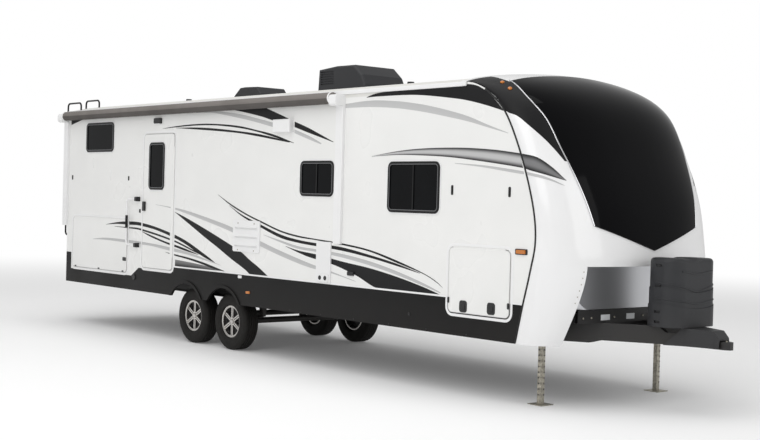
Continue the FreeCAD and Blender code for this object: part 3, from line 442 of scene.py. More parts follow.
# Closed-cell foam of the handle's sleeve
FOAM = Finish("foam_closed_cell_black", "#1b1b1b", "#222222", 0.9, 0.04, grain_mm=1.4, grain_depth=0.2)
# Printed paper labels under clear film, left blank
PLATE_PAPER = Finish(
    "label_laminated_blank", "#c6c8ca", "#cfd0d2", 0.4, 0.05, grain_mm=2, grain_depth=0.01
)
# Painted shade along the awning roll's underside: the same cloth, darker
AWNING_UNDERSIDE_SHADE = Finish(
    "polyester_acrylic_coated_dark", "#575350", "#4d4947", 0.85, 0.05, grain_mm=1.2, grain_depth=0.15,
    mottle_mm=300
)


Point = tuple[float, float]
# Degrees between faces above which an edge is shaded sharp
SHARP_ANGLE = 32


def natural_curve(points: list[Point], step: float = 0.04) -> list[Point]:
    """Draw a smooth curve through points, as evenly spaced points.

    Args:
        points: The points to pass through.
        step: Wanted distance between the points of the curve.

    Returns:
        Points on a Catmull-Rom curve through the given ones.
    """
    if len(points) < 3:
        return list(points)
    ends = [points[0], *points, points[-1]]
    curve = []
    for before, start, end, after in zip(ends, ends[1:], ends[2:], ends[3:]):
        count = max(1, round(math.dist(start, end) / step))
        for index in range(count):
            t = index / count
            curve.append(
                tuple(
                    0.5 * (
                        2 * b + (c - a) * t
                        + (2 * a - 5 * b + 4 * c - d) * t ** 2
                        + (3 * b - a - 3 * c + d) * t ** 3
                    )
                    for a, b, c, d in zip(before, start, end, after)
                )
            )
    return curve + [points[-1]]


def rounded_box(x0: float, x1: float, z0: float, z1: float, radius: float, arc: int = 7) -> list[Point]:
    """Return a rounded rectangle's outline, running the same way as its corners' angles.

    Args:
        x0: Low edge across.
        x1: High edge across.
        z0: Bottom edge.
        z1: Top edge.
        radius: Corner radius.
        arc: Points in each corner.

    Returns:
        The outline's points.
    """
    low_x, high_x, low_z, high_z = x0 + radius, x1 - radius, z0 + radius, z1 - radius
    centres = ((high_x, high_z), (low_x, high_z), (low_x, low_z), (high_x, low_z))
    outline = []
    for quarter, (cx, cz) in enumerate(centres):
        for index in range(arc):
            angle = math.radians(90 * (quarter + index / (arc - 1)))
            outline.append((cx + radius * math.cos(angle), cz + radius * math.sin(angle)))
    return outline


def circle(centre: Vector, first: Vector, second: Vector, radius: float, count: int) -> list[Vector]:
    """Return a circle of points in the plane of two directions."""
    turns = [math.tau * i / count for i in range(count)]
    return [centre + (first * math.cos(turn) + second * math.sin(turn)) * radius for turn in turns]


def disc(cx: float, cz: float, radius: float, count: int = 24) -> list[Point]:
    """Return a circle's outline."""
    return [
        (cx + radius * math.cos(math.tau * i / count), cz + radius * math.sin(math.tau * i / count))
        for i in range(count)
    ]


@dataclass(frozen=True)
class Plane:
    """A flat face of the caravan: where its own (across, up, out) axes lie in the frame."""

    origin: Vector
    across: Vector
    up: Vector
    out: Vector

    def at(self, across: float, up: float, out: float = 0.0) -> Vector:
        """Return the frame's point for a point of the plane."""
        return self.origin + self.across * across + self.up * up + self.out * out


def side_plane(side: Side, face: float) -> Plane:
    """Return the plane of a long side, with stations across and heights up."""
    return Plane(Vector((-ORIGIN_STATION, side.value * face, 0)), AHEAD, UP, ACROSS * side.value)


def end_plane(x: float, facing: int) -> Plane:
    """Return a plane across the caravan at the frame's X, with offsets across and heights up."""
    return Plane(Vector((x, 0, 0)), ACROSS, UP, Vector((facing, 0, 0)))


class Piece:
    """One visible piece: a mesh that is sketched part by part, then placed on its body."""

    def __init__(
        self, name: str, finish: Finish, body: str = Body.TRAILER.value, smooth: bool = True
    ) -> None:
        """Start an empty piece.

        Args:
            name: The object's name.
            finish: The finish it gets.
            body: The CAD body that it rides on.
            smooth: Whether its faces are shaded smooth up to sharp edges.
        """
        self.name = name
        self.surface = finish
        self.body = body
        self.smooth = smooth
        self.mesh = bmesh.new()

    def loft(self, rings: list[list[Vector]], closed: bool = False) -> None:
        """Join rings of points of one length into a skin, with both ends filled where it is open.

        Args:
            rings: The rings in order.
            closed: Whether the last ring joins the first.
        """
        rows = [[self.mesh.verts.new(point) for point in ring] for ring in rings]
        pairs = list(zip(rows, rows[1:])) + ([(rows[-1], rows[0])] if closed else [])
        for low, high in pairs:
            for i in range(len(low)):
                j = (i + 1) % len(low)
                self.mesh.faces.new((low[i], low[j], high[j], high[i]))
        if not closed:
            self.mesh.faces.new(rows[0][::-1])
            self.mesh.faces.new(rows[-1])

    def plate(
        self, plane: Plane, outline: list[Point], low: float, high: float, ease: float = 0.0
    ) -> None:
        """Raise an outline from a plane, with eased upper edges.

        Args:
            plane: The plane that it stands on.
            outline: The plate's outline on the plane.
            low: Where its back lies, measured out of the plane.
            high: Where its face lies.
            ease: How far the face's edge is drawn in.
        """
        cx = sum(p[0] for p in outline) / len(outline)
        cz = sum(p[1] for p in outline) / len(outline)
        reach = max(math.dist(p, (cx, cz)) for p in outline)
        shrink = 1 - ease / reach
        rings = [
            [plane.at(x, z, low) for x, z in outline], [plane.at(x, z, high - ease) for x, z in outline]
        ]
        if ease:
            rings.append([
                plane.at(cx + (x - cx) * shrink, cz + (z - cz) * shrink, high) for x, z in outline
            ])
        self.loft(rings)

    def band(
        self, plane: Plane, outer: list[Point], inner: list[Point], low: float, high: float
    ) -> None:
        """Raise a ring between two outlines of one length from a plane.

        Args:
            plane: The plane that it stands on.
            outer: The ring's outer outline.
            inner: The ring's inner outline.
            low: Where its back lies, measured out of the plane.
            high: Where its face lies.
        """
        self.loft(
            [
                [plane.at(x, z, low) for x, z in outer],
                [plane.at(x, z, high) for x, z in outer],
                [plane.at(x, z, high) for x, z in inner],
                [plane.at(x, z, low) for x, z in inner],
            ],
            closed=True,
        )

    def tube(self, path: list[Vector], radius: float, sides: int = 10) -> None:
        """Sweep a round section along a path.

        Args:
            path: Points of the centre line.
            radius: The section's radius.
            sides: Points round the section.
        """
        rings = []
        normal = None
        for index, point in enumerate(path):
            ahead = (path[min(index + 1, len(path) - 1)] - path[max(index - 1, 0)]).normalized()
            if normal is None:
                normal = ahead.orthogonal().normalized()
            normal = (normal - ahead * normal.dot(ahead)).normalized()
            rings.append(circle(point, normal, ahead.cross(normal), radius, sides))
        self.loft(rings)

    def lathe(self, centre: Vector, axis: Vector, profile: list[Point], segments: int = 32) -> None:
        """Turn a profile of (along, radius) points round an axis.

        Args:
            centre: A point on the axis.
            axis: The axis' direction.
            profile: Distances along the axis, and radii.
            segments: Points round the axis.
        """
        axis = axis.normalized()
        first = axis.orthogonal().normalized()
        second = axis.cross(first)
        self.loft(
            [circle(centre + axis * along, first, second, radius, segments) for along, radius in profile]
        )

    def place(self):
        """Write the mesh, shade it, give it its finish and let it ride on its body.

        Returns:
            The new object.
        """
        bmesh.ops.recalc_face_normals(self.mesh, faces=self.mesh.faces)
        return self.place_as_drawn()

    def place_as_drawn(self):
        """Do what place does, with the faces' directions kept.

        Returns:
            The new object.
        """
        data = bpy.data.meshes.new(self.name)
        self.mesh.to_mesh(data)
        self.mesh.free()
        data.materials.append(self.surface.material())
        if self.smooth:
            data.shade_smooth()
            data.set_sharp_from_angle(angle=math.radians(SHARP_ANGLE))
        made = bpy.data.objects.new(self.name, data)
        bpy.context.scene.collection.objects.link(made)
        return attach(made, self.body)


@dataclass(frozen=True)
class PhotoCamera:
    """The photograph's camera: at eye height ahead of the door side, a little turned about its axis.

    Its values come from fitting the caravan's corners to the photograph.
    """

    azimuth: float = 49.80806
    elevation: float = 0.89730
    roll: float = 1.53890
    focal_px: float = 1297.189
    centre_px: tuple = (379.9985, 220.0226)
    image_width: int = 760
    sensor_mm: float = 36.0
    clip_end: float = 400.0
    place: tuple = (18.11863 - ORIGIN_STATION, -10.30931, 1.96167)

    def turn(self) -> Matrix:
        """Return the camera's rotation, with columns right, up and back.

        Returns:
            The rotation matrix.
        """
        az = math.radians(self.azimuth)
        el = math.radians(self.elevation)
        ahead = Vector((-math.sin(az) * math.cos(el), math.cos(az) * math.cos(el), -math.sin(el)))
        right = Vector((math.cos(az), math.sin(az), 0.0))
        up = right.cross(ahead)
        roll = math.radians(self.roll)
        tilted_right = right * math.cos(roll) + up * math.sin(roll)
        tilted_up = up * math.cos(roll) - right * math.sin(roll)
        return Matrix((tilted_right, tilted_up, -ahead)).transposed()

    def ray(self, px: float, py: float) -> Vector:
        """Return the direction through one point of the 760 by 440 image.

        Args:
            px: Pixels from the left edge.
            py: Pixels from the top edge.

        Returns:
            The direction, which is not of unit length.
        """
        across = (px - self.centre_px[0]) / self.focal_px
        down = (py - self.centre_px[1]) / self.focal_px
        return self.turn() @ Vector((across, -down, -1.0))

    def on_plane(self, px: float, py: float, axis: int, value: float) -> Vector:
        """Return where the ray through an image point meets the plane axis = value.

        Args:
            px: Pixels from the left edge.
            py: Pixels from the top edge.
            axis: The plane's axis: 0, 1 or 2.
            value: Where the plane lies along that axis.

        Returns:
            The point in the frame.
        """
        start = Vector(self.place)
        ray = self.ray(px, py)
        return start + ray * ((value - start[axis]) / ray[axis])

    def build(self) -> None:
        """Create the camera and make it the scene's."""
        data = bpy.data.cameras.new("studio_camera")
        data.sensor_fit = "HORIZONTAL"
        data.sensor_width = self.sensor_mm
        data.lens = self.sensor_mm * self.focal_px / self.image_width
        data.clip_end = self.clip_end
        camera = bpy.data.objects.new("studio_camera", data)
        camera.matrix_world = Matrix.Translation(self.place) @ self.turn().to_4x4()
        bpy.context.scene.collection.objects.link(camera)
        bpy.context.scene.camera = camera


PHOTO = PhotoCamera()


def node_tree(name: str) -> BVHTree:
    """Return the faces of one CAD node for casting rays."""
    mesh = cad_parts[name].data
    return BVHTree.FromPolygons([v.co for v in mesh.vertices], [p.vertices for p in mesh.polygons])


# Readings are good to about half a pixel, which is 5 mm on the wall
MARKS_PER_METRE = 200


def nearest_mark(measure: float) -> float:
    """Return a measure rounded to what a reading is good for."""
    return round(measure * MARKS_PER_METRE) / MARKS_PER_METRE


@dataclass(frozen=True)
class Cut:
    """An enlarged cut of the photograph, on which points of the stripes were read.

    Its upper left corner is given in the photograph's pixels, and its scale is how many pixels of
    the cut one of the photograph's pixels takes.
    """

    left: float
    top: float
    scale: float

    def pixel(self, across: float, down: float) -> Point:
        """Return the photograph's pixel for a point of the cut."""
        return self.left + across / self.scale, self.top + down / self.scale

    def wall(self, *read: Point) -> list[Point]:
        """Return where the camera's rays through points of the cut meet the door side's wall.

        Args:
            read: Points as read on the cut, across and down from its upper left corner.

        Returns:
            A (station, height) point for each, rounded to what a reading is good for.
        """
        spots = [PHOTO.on_plane(*self.pixel(*point), 1, -HALF_WIDTH) for point in read]
        return [(nearest_mark(spot.x + ORIGIN_STATION), nearest_mark(spot.z)) for spot in spots]

    def cap(self, *read: Point) -> list[Point]:
        """Return where the camera's rays through points of the cut meet the CAD's moulded cap.

        Args:
            read: Points as read on the cut, across and down from its upper left corner.

        Returns:
            A (station, height) point for each.
        """
        eye = Vector(PHOTO.place)
        hits = [FRONT_CAP.ray_cast(eye, PHOTO.ray(*self.pixel(*point)))[0] for point in read]
        return [(hit.x + ORIGIN_STATION, hit.z) for hit in hits]


FRONT_CAP = node_tree("front_cap")
CUT_WIDTH = 1568
WIDE_ZOOM = 5.6
CLOSE_ZOOM = 11.2
REAR_CUT = Cut(90, 190, CUT_WIDTH / 170)
MIDDLE_CUT = Cut(200, 185, CLOSE_ZOOM)
FRONT_CUT = Cut(320, 210, CLOSE_ZOOM)
CROWN_CUT = Cut(335, 85, CLOSE_ZOOM)
CHEEK_CUT = Cut(450, 75, CUT_WIDTH / 150)
HIGH_CUT = Cut(60, 95, WIDE_ZOOM)


@dataclass(frozen=True)
class Panel:
    """One flat panel of a side that stripes are cut to."""

    name: str
    body: Body
    face: float
    x0: float
    x1: float
    z0: float
    z1: float


DOOR_BOX = (2.270, 3.080, 0.935, 2.780)
KITCHEN_BOX = (0.200, 1.855, 0.835, 1.590)
STORE_BOX = (8.470, 9.345, 0.835, 1.505)
SLIDE_BOX = (3.560, 7.240, 0.973, 3.000)
WINDOWS = {
    "bunk": (0.574, 1.405, 2.548, 2.975),
    "lounge": (5.900, 6.535, 1.980, 2.390),
    "bedroom": (7.482, 8.303, 1.831, 2.374),
}
DOOR_WINDOW = (2.430, 2.838, 2.015, 2.660)
SLIDE_WINDOW = (4.700, 6.100, 1.750, 2.420)
# Where the stripes on the door leaf end
DOOR_STRIPE_END = 3.012
# How far stripes stay off the edge of a leaf
EDGE_MARGIN = 0.002
WALL_LOW = 0.984
WALL_HIGH = 3.155
SHUT_GAP = 0.008
WALL_REAR = 0.065
WALL_FRONT = 9.660
BELT_STRIP_WIDTH = 0.018


def door_side_panels() -> list[Panel]:
    """Return the door side's panels: the wall round its openings, the door and the two hatches.

    Returns:
        The panels, from the rear to the front.
    """
    gap = SHUT_GAP
    wall = (Body.TRAILER, HALF_WIDTH)
    return [
        Panel("wall_rear", *wall, WALL_REAR, KITCHEN_BOX[0] - gap, WALL_LOW, WALL_HIGH),
        Panel(
            "wall_over_kitchen", *wall, KITCHEN_BOX[0] - gap, KITCHEN_BOX[1] + gap,
            KITCHEN_BOX[3] + gap, WALL_HIGH
        ),
        Panel("wall_by_door", *wall, KITCHEN_BOX[1] + gap, DOOR_BOX[0] - gap, WALL_LOW, WALL_HIGH),
        Panel(
            "wall_over_door", *wall, DOOR_BOX[0] - gap, DOOR_BOX[1] + gap, DOOR_BOX[3] + gap, WALL_HIGH
        ),
        Panel(
            "wall_middle", *wall, DOOR_BOX[1] + gap, STORE_BOX[0] - gap,
            WALL_LOW + BELT_STRIP_WIDTH + 0.001, WALL_HIGH
        ),
        Panel(
            "wall_over_store", *wall, STORE_BOX[0] - gap, STORE_BOX[1] + gap, STORE_BOX[3] + gap,
            WALL_HIGH
        ),
        Panel("wall_front", *wall, STORE_BOX[1] + gap, WALL_FRONT, WALL_LOW, WALL_HIGH),
        Panel(
            "door", Body.DOOR, DOOR_FACE, DOOR_BOX[0] + SHUT_GAP, DOOR_STRIPE_END, DOOR_BOX[2],
            DOOR_BOX[3] - EDGE_MARGIN
        ),
        Panel(
            "kitchen", Body.KITCHEN, HATCH_FACE, KITCHEN_BOX[0], KITCHEN_BOX[1] - EDGE_MARGIN,
            KITCHEN_BOX[2], KITCHEN_BOX[3]
        ),
        Panel(
            "store", Body.STORE_RIGHT, HATCH_FACE, STORE_BOX[0] + EDGE_MARGIN, STORE_BOX[1], STORE_BOX[2],
            STORE_BOX[3]
        ),
    ]


def off_side_panels() -> list[Panel]:
    """Return the off side's panels: the wall, the slide-out room's face and the second hatch.

    Returns:
        The panels, from the rear to the front.
    """
    gap = SHUT_GAP
    wall = (Body.TRAILER, HALF_WIDTH)
    return [
        Panel("off_wall_rear", *wall, WALL_REAR, SLIDE_BOX[0] - gap, WALL_LOW, WALL_HIGH),
        Panel(
            "off_wall_over_slide", *wall, SLIDE_BOX[0] - gap, SLIDE_BOX[1] + gap, SLIDE_BOX[3] + gap,
            WALL_HIGH
        ),
        Panel("off_wall_middle", *wall, SLIDE_BOX[1] + gap, STORE_BOX[0] - gap, WALL_LOW, WALL_HIGH),
        Panel(
            "off_wall_over_store", *wall, STORE_BOX[0] - gap, STORE_BOX[1] + gap, STORE_BOX[3] + gap,
            WALL_HIGH
        ),
        Panel("off_wall_front", *wall, STORE_BOX[1] + gap, WALL_FRONT, WALL_LOW, WALL_HIGH),
        Panel("slide", Body.SLIDE, SLIDE_FACE, SLIDE_BOX[0], SLIDE_BOX[1], SLIDE_BOX[2], SLIDE_BOX[3]),
        Panel(
            "off_store", Body.STORE_LEFT, HATCH_FACE, STORE_BOX[0] + EDGE_MARGIN, STORE_BOX[1],
            STORE_BOX[2], STORE_BOX[3]
        ),
    ]


@dataclass(frozen=True)
class Stripe:
    """One cut vinyl stripe of a side: the space between two smooth edges."""

    name: str
    film: FadedVinyl
    top: list
    bottom: list
    layer: int = 0
    columns: int = 60

    def edge(self, points: list[Point]) -> list[Point]:
        """Return one edge as columns + 1 points at even shares of its run.

        Args:
            points: The points that the edge runs through.

        Returns:
            The points, from the rear to the front.
        """
        curve = natural_curve(points, 0.03)
        runs = [0.0]
        for a, b in zip(curve, curve[1:]):
            runs.append(runs[-1] + math.dist(a, b))
        marks = []
        at = 0
        for index in range(self.columns + 1):
            wanted = runs[-1] * index / self.columns
            while at < len(curve) - 2 and runs[at + 1] < wanted:
                at += 1
            share = (wanted - runs[at]) / max(1e-9, runs[at + 1] - runs[at])
            marks.append(tuple(a + (b - a) * share for a, b in zip(curve[at], curve[at + 1])))
        return marks

    def cut_to(self, panel: Panel, side: Side):
        """Lay the stripe on one panel and cut it to the panel's edges.

        Args:
            panel: The panel that carries it.
            side: The side of the caravan.

        Returns:
            The new object, or None where the stripe misses the panel.
        """
        plane = side_plane(side, panel.face)
        lift = DECAL_LIFT * (1 + 0.5 * self.layer)
        top = self.edge(self.top)
        bottom = self.edge(self.bottom)
        piece = Piece(f"stripe_{self.name}_{panel.name}", self.film, panel.body.value, smooth=False)
        mesh = piece.mesh
        uv = mesh.loops.layers.uv.new("UVMap")
        rows = [[mesh.verts.new(plane.at(x, z, lift)) for x, z in edge] for edge in (bottom, top)]
        count = self.columns
        for i in range(count):
            face = mesh.faces.new((rows[0][i], rows[0][i + 1], rows[1][i + 1], rows[1][i]))
            for loop, place in zip(face.loops, ((i, 0), (i + 1, 0), (i + 1, 1), (i, 1))):
                loop[uv].uv = (place[0] / count, place[1])
        for point, normal in (
            ((panel.x0, 0), (-1, 0)),
            ((panel.x1, 0), (1, 0)),
            ((0, panel.z0), (0, -1)),
            ((0, panel.z1), (0, 1)),
        ):
            bmesh.ops.bisect_plane(
                mesh,
                geom=mesh.verts[:] + mesh.edges[:] + mesh.faces[:],
                plane_co=plane.at(*point),
                plane_no=plane.across * normal[0] + plane.up * normal[1],
                clear_outer=True,
            )
        if not mesh.faces:
            mesh.free()
            return None
        if side is Side.OFF:
            bmesh.ops.reverse_faces(mesh, faces=mesh.faces[:])
        return piece.place_as_drawn()


# Stripes of a long side: their edges as read on the cuts, and as (station, height) in metres where
# a point was given
STRIPES = [
    Stripe(
        "rear_arch", VINYL_BLACK,
        top=REAR_CUT.wall(
            (150, 317), (250, 297), (350, 289), (470, 302), (640, 350), (860, 455), (1060, 595),
            (1150, 668),
        ),
        bottom=[
            (1.225, 1.497),
            *REAR_CUT.wall((250, 313), (350, 318), (470, 332), (640, 380), (850, 482), (1040, 615)),
            (4.110, 1.100),
        ],
    ),
    Stripe(
        "rear_second", VINYL_BLACK,
        top=REAR_CUT.wall((230, 335), (350, 343), (475, 358), (745, 447), (960, 556), (1050, 612)),
        bottom=[
            (1.485, 1.476),
            *REAR_CUT.wall((350, 353), (475, 373), (745, 465), (960, 572)),
            (3.850, 1.167),
        ],
    ),
    Stripe(
        "rear_third", VINYL_BLACK,
        top=REAR_CUT.wall((475, 378), (560, 415), (690, 470), (860, 535), (1000, 595)),
        bottom=[
            (2.240, 1.437),
            *REAR_CUT.wall((560, 432), (690, 488), (860, 553)),
            (3.720, 1.180),
        ],
    ),
    Stripe(
        "rear_grey", VINYL_GREY,
        top=REAR_CUT.wall(
            (30, 449), (150, 440), (350, 460), (560, 490), (745, 530), (900, 572), (1050, 630),
            (1210, 695),
        ),
        bottom=[
            *REAR_CUT.wall(
                (30, 452), (150, 459), (350, 486), (560, 514), (745, 560), (900, 598), (1050, 645),
            ),
            (4.260, 1.072),
        ],
    ),
    Stripe(
        "belt_line", VINYL_BLACK,
        top=REAR_CUT.wall((700, 571), (785, 592), (900, 622), (1030, 663), (1140, 705), (1245, 749)),
        bottom=[
            (2.905, 1.177),
            *REAR_CUT.wall((785, 606), (900, 640), (1030, 683), (1140, 727), (1240, 753)),
        ],
        layer=1,
    ),
    Stripe(
        "belt_wedge", VINYL_RISE,
        top=REAR_CUT.wall((785, 640), (900, 665), (1030, 690), (1140, 722), (1210, 748)),
        bottom=[(3.145, 0.996), (4.265, 0.996)],
    ),
    Stripe(
        "main_band", VINYL_BLACK,
        top=[
            *REAR_CUT.wall((785, 203), (900, 262), (1100, 382), (1290, 500), (1390, 568)),
            *MIDDLE_CUT.wall((560, 840), (660, 925)),
            (5.320, 0.985),
        ],
        bottom=[
            *REAR_CUT.wall((785, 207), (860, 270), (1060, 437), (1180, 532)),
            (4.480, 1.170),
            *MIDDLE_CUT.wall((500, 945)),
            (4.925, 0.985),
        ],
        layer=1,
    ),
    Stripe(
        "middle_grey", VINYL_GREY,
        top=[
            *REAR_CUT.wall((610, 132), (740, 154), (900, 193), (1150, 280), (1310, 345)),
            *MIDDLE_CUT.wall((690, 635), (900, 735), (1200, 865)),
            *FRONT_CUT.wall((135, 692), (400, 797)),
        ],
        bottom=[
            *REAR_CUT.wall((610, 136), (740, 166), (900, 220), (1150, 320), (1310, 390)),
            *MIDDLE_CUT.wall((690, 692), (900, 795), (1200, 915)),
            *FRONT_CUT.wall((135, 712)),
            (6.970, 1.045),
        ],
    ),
    Stripe(
        "front_line", VINYL_BLACK,
        top=[
            *MIDDLE_CUT.wall(
                (200, 105), (350, 215), (530, 325), (690, 405), (900, 508), (1100, 568), (1300, 605),
            ),
            *FRONT_CUT.wall((250, 372), (550, 445), (850, 560), (1150, 705), (1300, 800), (1375, 870)),
        ],
        bottom=[
            (4.145, 1.972),
            *MIDDLE_CUT.wall((350, 235), (530, 342), (690, 427), (900, 527), (1100, 586), (1300, 620)),
            *FRONT_CUT.wall((250, 392), (550, 464), (850, 587), (1150, 717), (1300, 808)),
            (8.385, 1.073),
        ],
    ),
    Stripe(
        "front_second", VINYL_BLACK,
        top=[
            *MIDDLE_CUT.wall((330, 228), (470, 333), (690, 450), (900, 555), (1100, 615), (1310, 655)),
            *FRONT_CUT.wall((250, 420), (550, 500), (850, 600), (1120, 705)),
        ],
        bottom=[
            (4.415, 1.837),
            *MIDDLE_CUT.wall((470, 352), (690, 480), (900, 590), (1100, 650), (1310, 685)),
            *FRONT_CUT.wall((250, 457), (550, 532), (850, 627), (1120, 710)),
        ],
    ),
    Stripe(
        "front_grey", VINYL_GREY,
        top=[
            *MIDDLE_CUT.wall((710, 555), (900, 620), (1100, 685), (1310, 720)),
            *FRONT_CUT.wall((250, 495), (550, 575), (850, 680), (1150, 815), (1350, 926)),
        ],
        bottom=[
            *MIDDLE_CUT.wall((710, 560), (900, 645), (1100, 715), (1310, 752)),
            *FRONT_CUT.wall((250, 532), (550, 620), (850, 725), (1150, 847)),
            (8.355, 1.015),
        ],
    ),
    Stripe(
        "front_wedge", VINYL_BLACK,
        top=[
            *MIDDLE_CUT.wall((960, 684), (1100, 735), (1310, 780)),
            *FRONT_CUT.wall((250, 580), (550, 650), (850, 745), (1150, 860), (1350, 950)),
        ],
        bottom=[
            *MIDDLE_CUT.wall((960, 689), (1200, 800)),
            *FRONT_CUT.wall((135, 607), (400, 730)),
            (7.360, 0.995), (7.870, 0.990), (8.355, 0.990),
        ],
    ),
    Stripe(
        "top_black", VINYL_BLACK,
        top=[
            *CROWN_CUT.wall((355, 138)),
            (7.300, 3.125), (7.880, 3.145), (8.640, 3.152), (8.900, 3.090), (9.050, 2.990),
            (9.185, 2.868),
        ],
        bottom=[
            *CROWN_CUT.wall((355, 141), (500, 126), (900, 112), (1300, 146)),
            *CHEEK_CUT.wall((200, 272), (400, 322)),
            (9.185, 2.862),
        ],
    ),
    Stripe(
        "top_grey", VINYL_GREY,
        top=[
            *CROWN_CUT.wall((120, 212), (400, 175), (700, 180), (1000, 220), (1300, 290)),
            *CHEEK_CUT.wall((200, 435), (400, 520), (612, 606)),
        ],
        bottom=[
            *CROWN_CUT.wall((120, 258), (400, 248), (700, 262), (1000, 305), (1300, 365)),
            *CHEEK_CUT.wall((200, 490), (400, 550)),
            (9.260, 2.640),
        ],
    ),
    Stripe(
        "swoosh", VINYL_TUBE,
        top=[
            *CROWN_CUT.wall((410, 800), (700, 740), (1000, 710), (1400, 703)),
            *CHEEK_CUT.wall((450, 780)),
            (9.425, 2.445),
        ],
        bottom=[
            *CROWN_CUT.wall((410, 803), (700, 786), (1000, 791)),
            *CHEEK_CUT.wall((0, 860), (300, 895), (600, 945)),
            (9.470, 2.303),
        ],
    ),
    Stripe(
        "under_grey", VINYL_GREY,
        top=[
            *CHEEK_CUT.wall((50, 920), (350, 945), (650, 985)),
            (9.478, 2.270),
        ],
        bottom=[
            *CHEEK_CUT.wall((50, 925), (350, 966), (650, 1017)),
            (9.488, 2.242),
        ],
    ),
    Stripe(
        "corner_flag", VINYL_BLACK,
        top=HIGH_CUT.wall((65, 132), (150, 123)),
        bottom=[
            (0.065, 2.965),
            *HIGH_CUT.wall((150, 127)),
        ],
    ),
    Stripe(
        "arch_upper", VINYL_BLACK,
        top=HIGH_CUT.wall(
            (575, 188), (650, 175), (760, 163), (870, 162), (1000, 174), (1100, 195), (1200, 222),
            (1310, 269),
        ),
        bottom=[
            (2.740, 2.842),
            *HIGH_CUT.wall((650, 181), (760, 171), (870, 171), (1000, 184), (1100, 206), (1200, 236)),
            (5.750, 2.600),
        ],
    ),
    Stripe(
        "arch_lower", VINYL_BLACK,
        top=[
            (3.090, 2.848),
            *HIGH_CUT.wall((760, 183), (870, 189), (1000, 202), (1100, 217), (1200, 238), (1290, 262)),
        ],
        bottom=[
            (3.090, 2.844),
            *HIGH_CUT.wall((760, 193), (870, 201), (1000, 214), (1100, 231), (1200, 251), (1285, 265)),
        ],
    ),
    Stripe(
        "top_wedge", VINYL_BLACK,
        top=HIGH_CUT.wall((955, 77), (1050, 70), (1130, 65), (1200, 95), (1280, 131)),
        bottom=[
            *HIGH_CUT.wall((955, 80), (1050, 101), (1130, 122), (1215, 146)),
            (5.630, 2.890),
        ],
    ),
    Stripe(
        "top_pale", VINYL_GREY,
        top=HIGH_CUT.wall((760, 97), (870, 92), (1000, 106), (1100, 130), (1215, 160)),
        bottom=HIGH_CUT.wall((760, 100), (870, 102), (1000, 128), (1100, 152), (1215, 186)),
    ),
    Stripe(
        "after_box", VINYL_BLACK,
        top=[
            *HIGH_CUT.wall((1315, 150), (1400, 188)),
            (6.510, 2.603),
        ],
        bottom=[
            (5.755, 2.790),
            *HIGH_CUT.wall((1400, 214), (1530, 264)),
        ],
    ),
    Stripe(
        "after_box_pale", VINYL_GREY,
        top=[
            (5.755, 2.762),
            *HIGH_CUT.wall((1400, 232), (1465, 272)),
        ],
        bottom=[
            (5.755, 2.720),
            *HIGH_CUT.wall((1400, 250), (1460, 275)),
        ],
    ),
]


@dataclass(frozen=True)
class CapStripe(Stripe):
    """A stripe that lies on the moulded cap: its side view is pressed onto the curved face."""

    rows: int = 8
    lift: float = 0.0012
    longest_edge: float = 0.25

    def press_on(self, cap: BVHTree, side: Side):
        """Press the stripe onto the cap from one side.

        Args:
            cap: The cap's faces.
            side: The side that it is pressed from.

        Returns:
            The new object.
        """
        name = f"cap_{self.name}_{side.name.lower()}"
        piece = Piece(name, self.film, smooth=True)
        mesh = piece.mesh
        uv = mesh.loops.layers.uv.new("UVMap")
        top = self.edge(self.top)
        bottom = self.edge(self.bottom)
        grid = []
        for row in range(self.rows + 1):
            share = row / self.rows
            line = []
            for low, high in zip(bottom, top):
                x = low[0] + (high[0] - low[0]) * share
                z = low[1] + (high[1] - low[1]) * share
                start = Vector((station(x), side.value * FROM_BESIDE, z))
                hit, normal, _, _ = cap.ray_cast(start, Vector((0, -side.value, 0)))
                line.append(mesh.verts.new(hit + normal * self.lift) if hit else None)
            grid.append(line)
        for row in range(self.rows):
            for i in range(self.columns):
                corners = (grid[row][i], grid[row][i + 1], grid[row + 1][i + 1], grid[row + 1][i])
                if None in corners:
                    continue
                if max((a.co - b.co).length for a, b in zip(corners, corners[1:])) > self.longest_edge:
                    continue
                face = mesh.faces.new(corners)
                places = ((i, row), (i + 1, row), (i + 1, row + 1), (i, row + 1))
                for loop, (u, v) in zip(face.loops, places):
                    loop[uv].uv = (u / self.columns, v / self.rows)
        if side is Side.OFF:
            bmesh.ops.reverse_faces(mesh, faces=mesh.faces[:])
        return piece.place_as_drawn()


# Stripes of the cap's cheeks: their edges as read on a cut, and as (station, height) in metres along
# the seam, at the crown's tip and where the crown's black runs under the nose panel
CAP_STRIPES = [
    CapStripe(
        "crown_black", VINYL_BLACK,
        top=[
            (8.790, 3.235), (8.900, 3.215), (9.075, 3.165), (9.215, 3.110), (9.440, 2.950),
            (9.615, 2.700), (9.690, 2.560), (9.775, 2.375),
        ],
        bottom=[
            (8.655, 3.176), (8.785, 3.144), (8.938, 3.080), (9.080, 2.990), (9.215, 2.862),
            *CHEEK_CUT.cap((700, 425), (800, 505), (900, 590), (1000, 680), (1100, 785)),
            (9.765, 2.378),
        ],
        columns=150,
        rows=30,
    ),
    CapStripe(
        "swoosh_end", VINYL_TUBE_END,
        top=[
            (9.450, 2.441),
            *CHEEK_CUT.cap((870, 845), (950, 880), (1030, 935), (1110, 1000), (1218, 1103))
        ],
        bottom=[
            (9.496, 2.298),
            *CHEEK_CUT.cap((900, 1015), (1000, 1042), (1100, 1072), (1160, 1090), (1216, 1106))
        ],
    ),
    CapStripe(
        "under_end", VINYL_GREY,
        top=[(9.512, 2.266), *CHEEK_CUT.cap((920, 1040), (1000, 1065), (1100, 1105), (1200, 1155))],
        bottom=[(9.520, 2.238), *CHEEK_CUT.cap((920, 1070), (1050, 1105), (1130, 1135), (1198, 1158))],
    ),
]


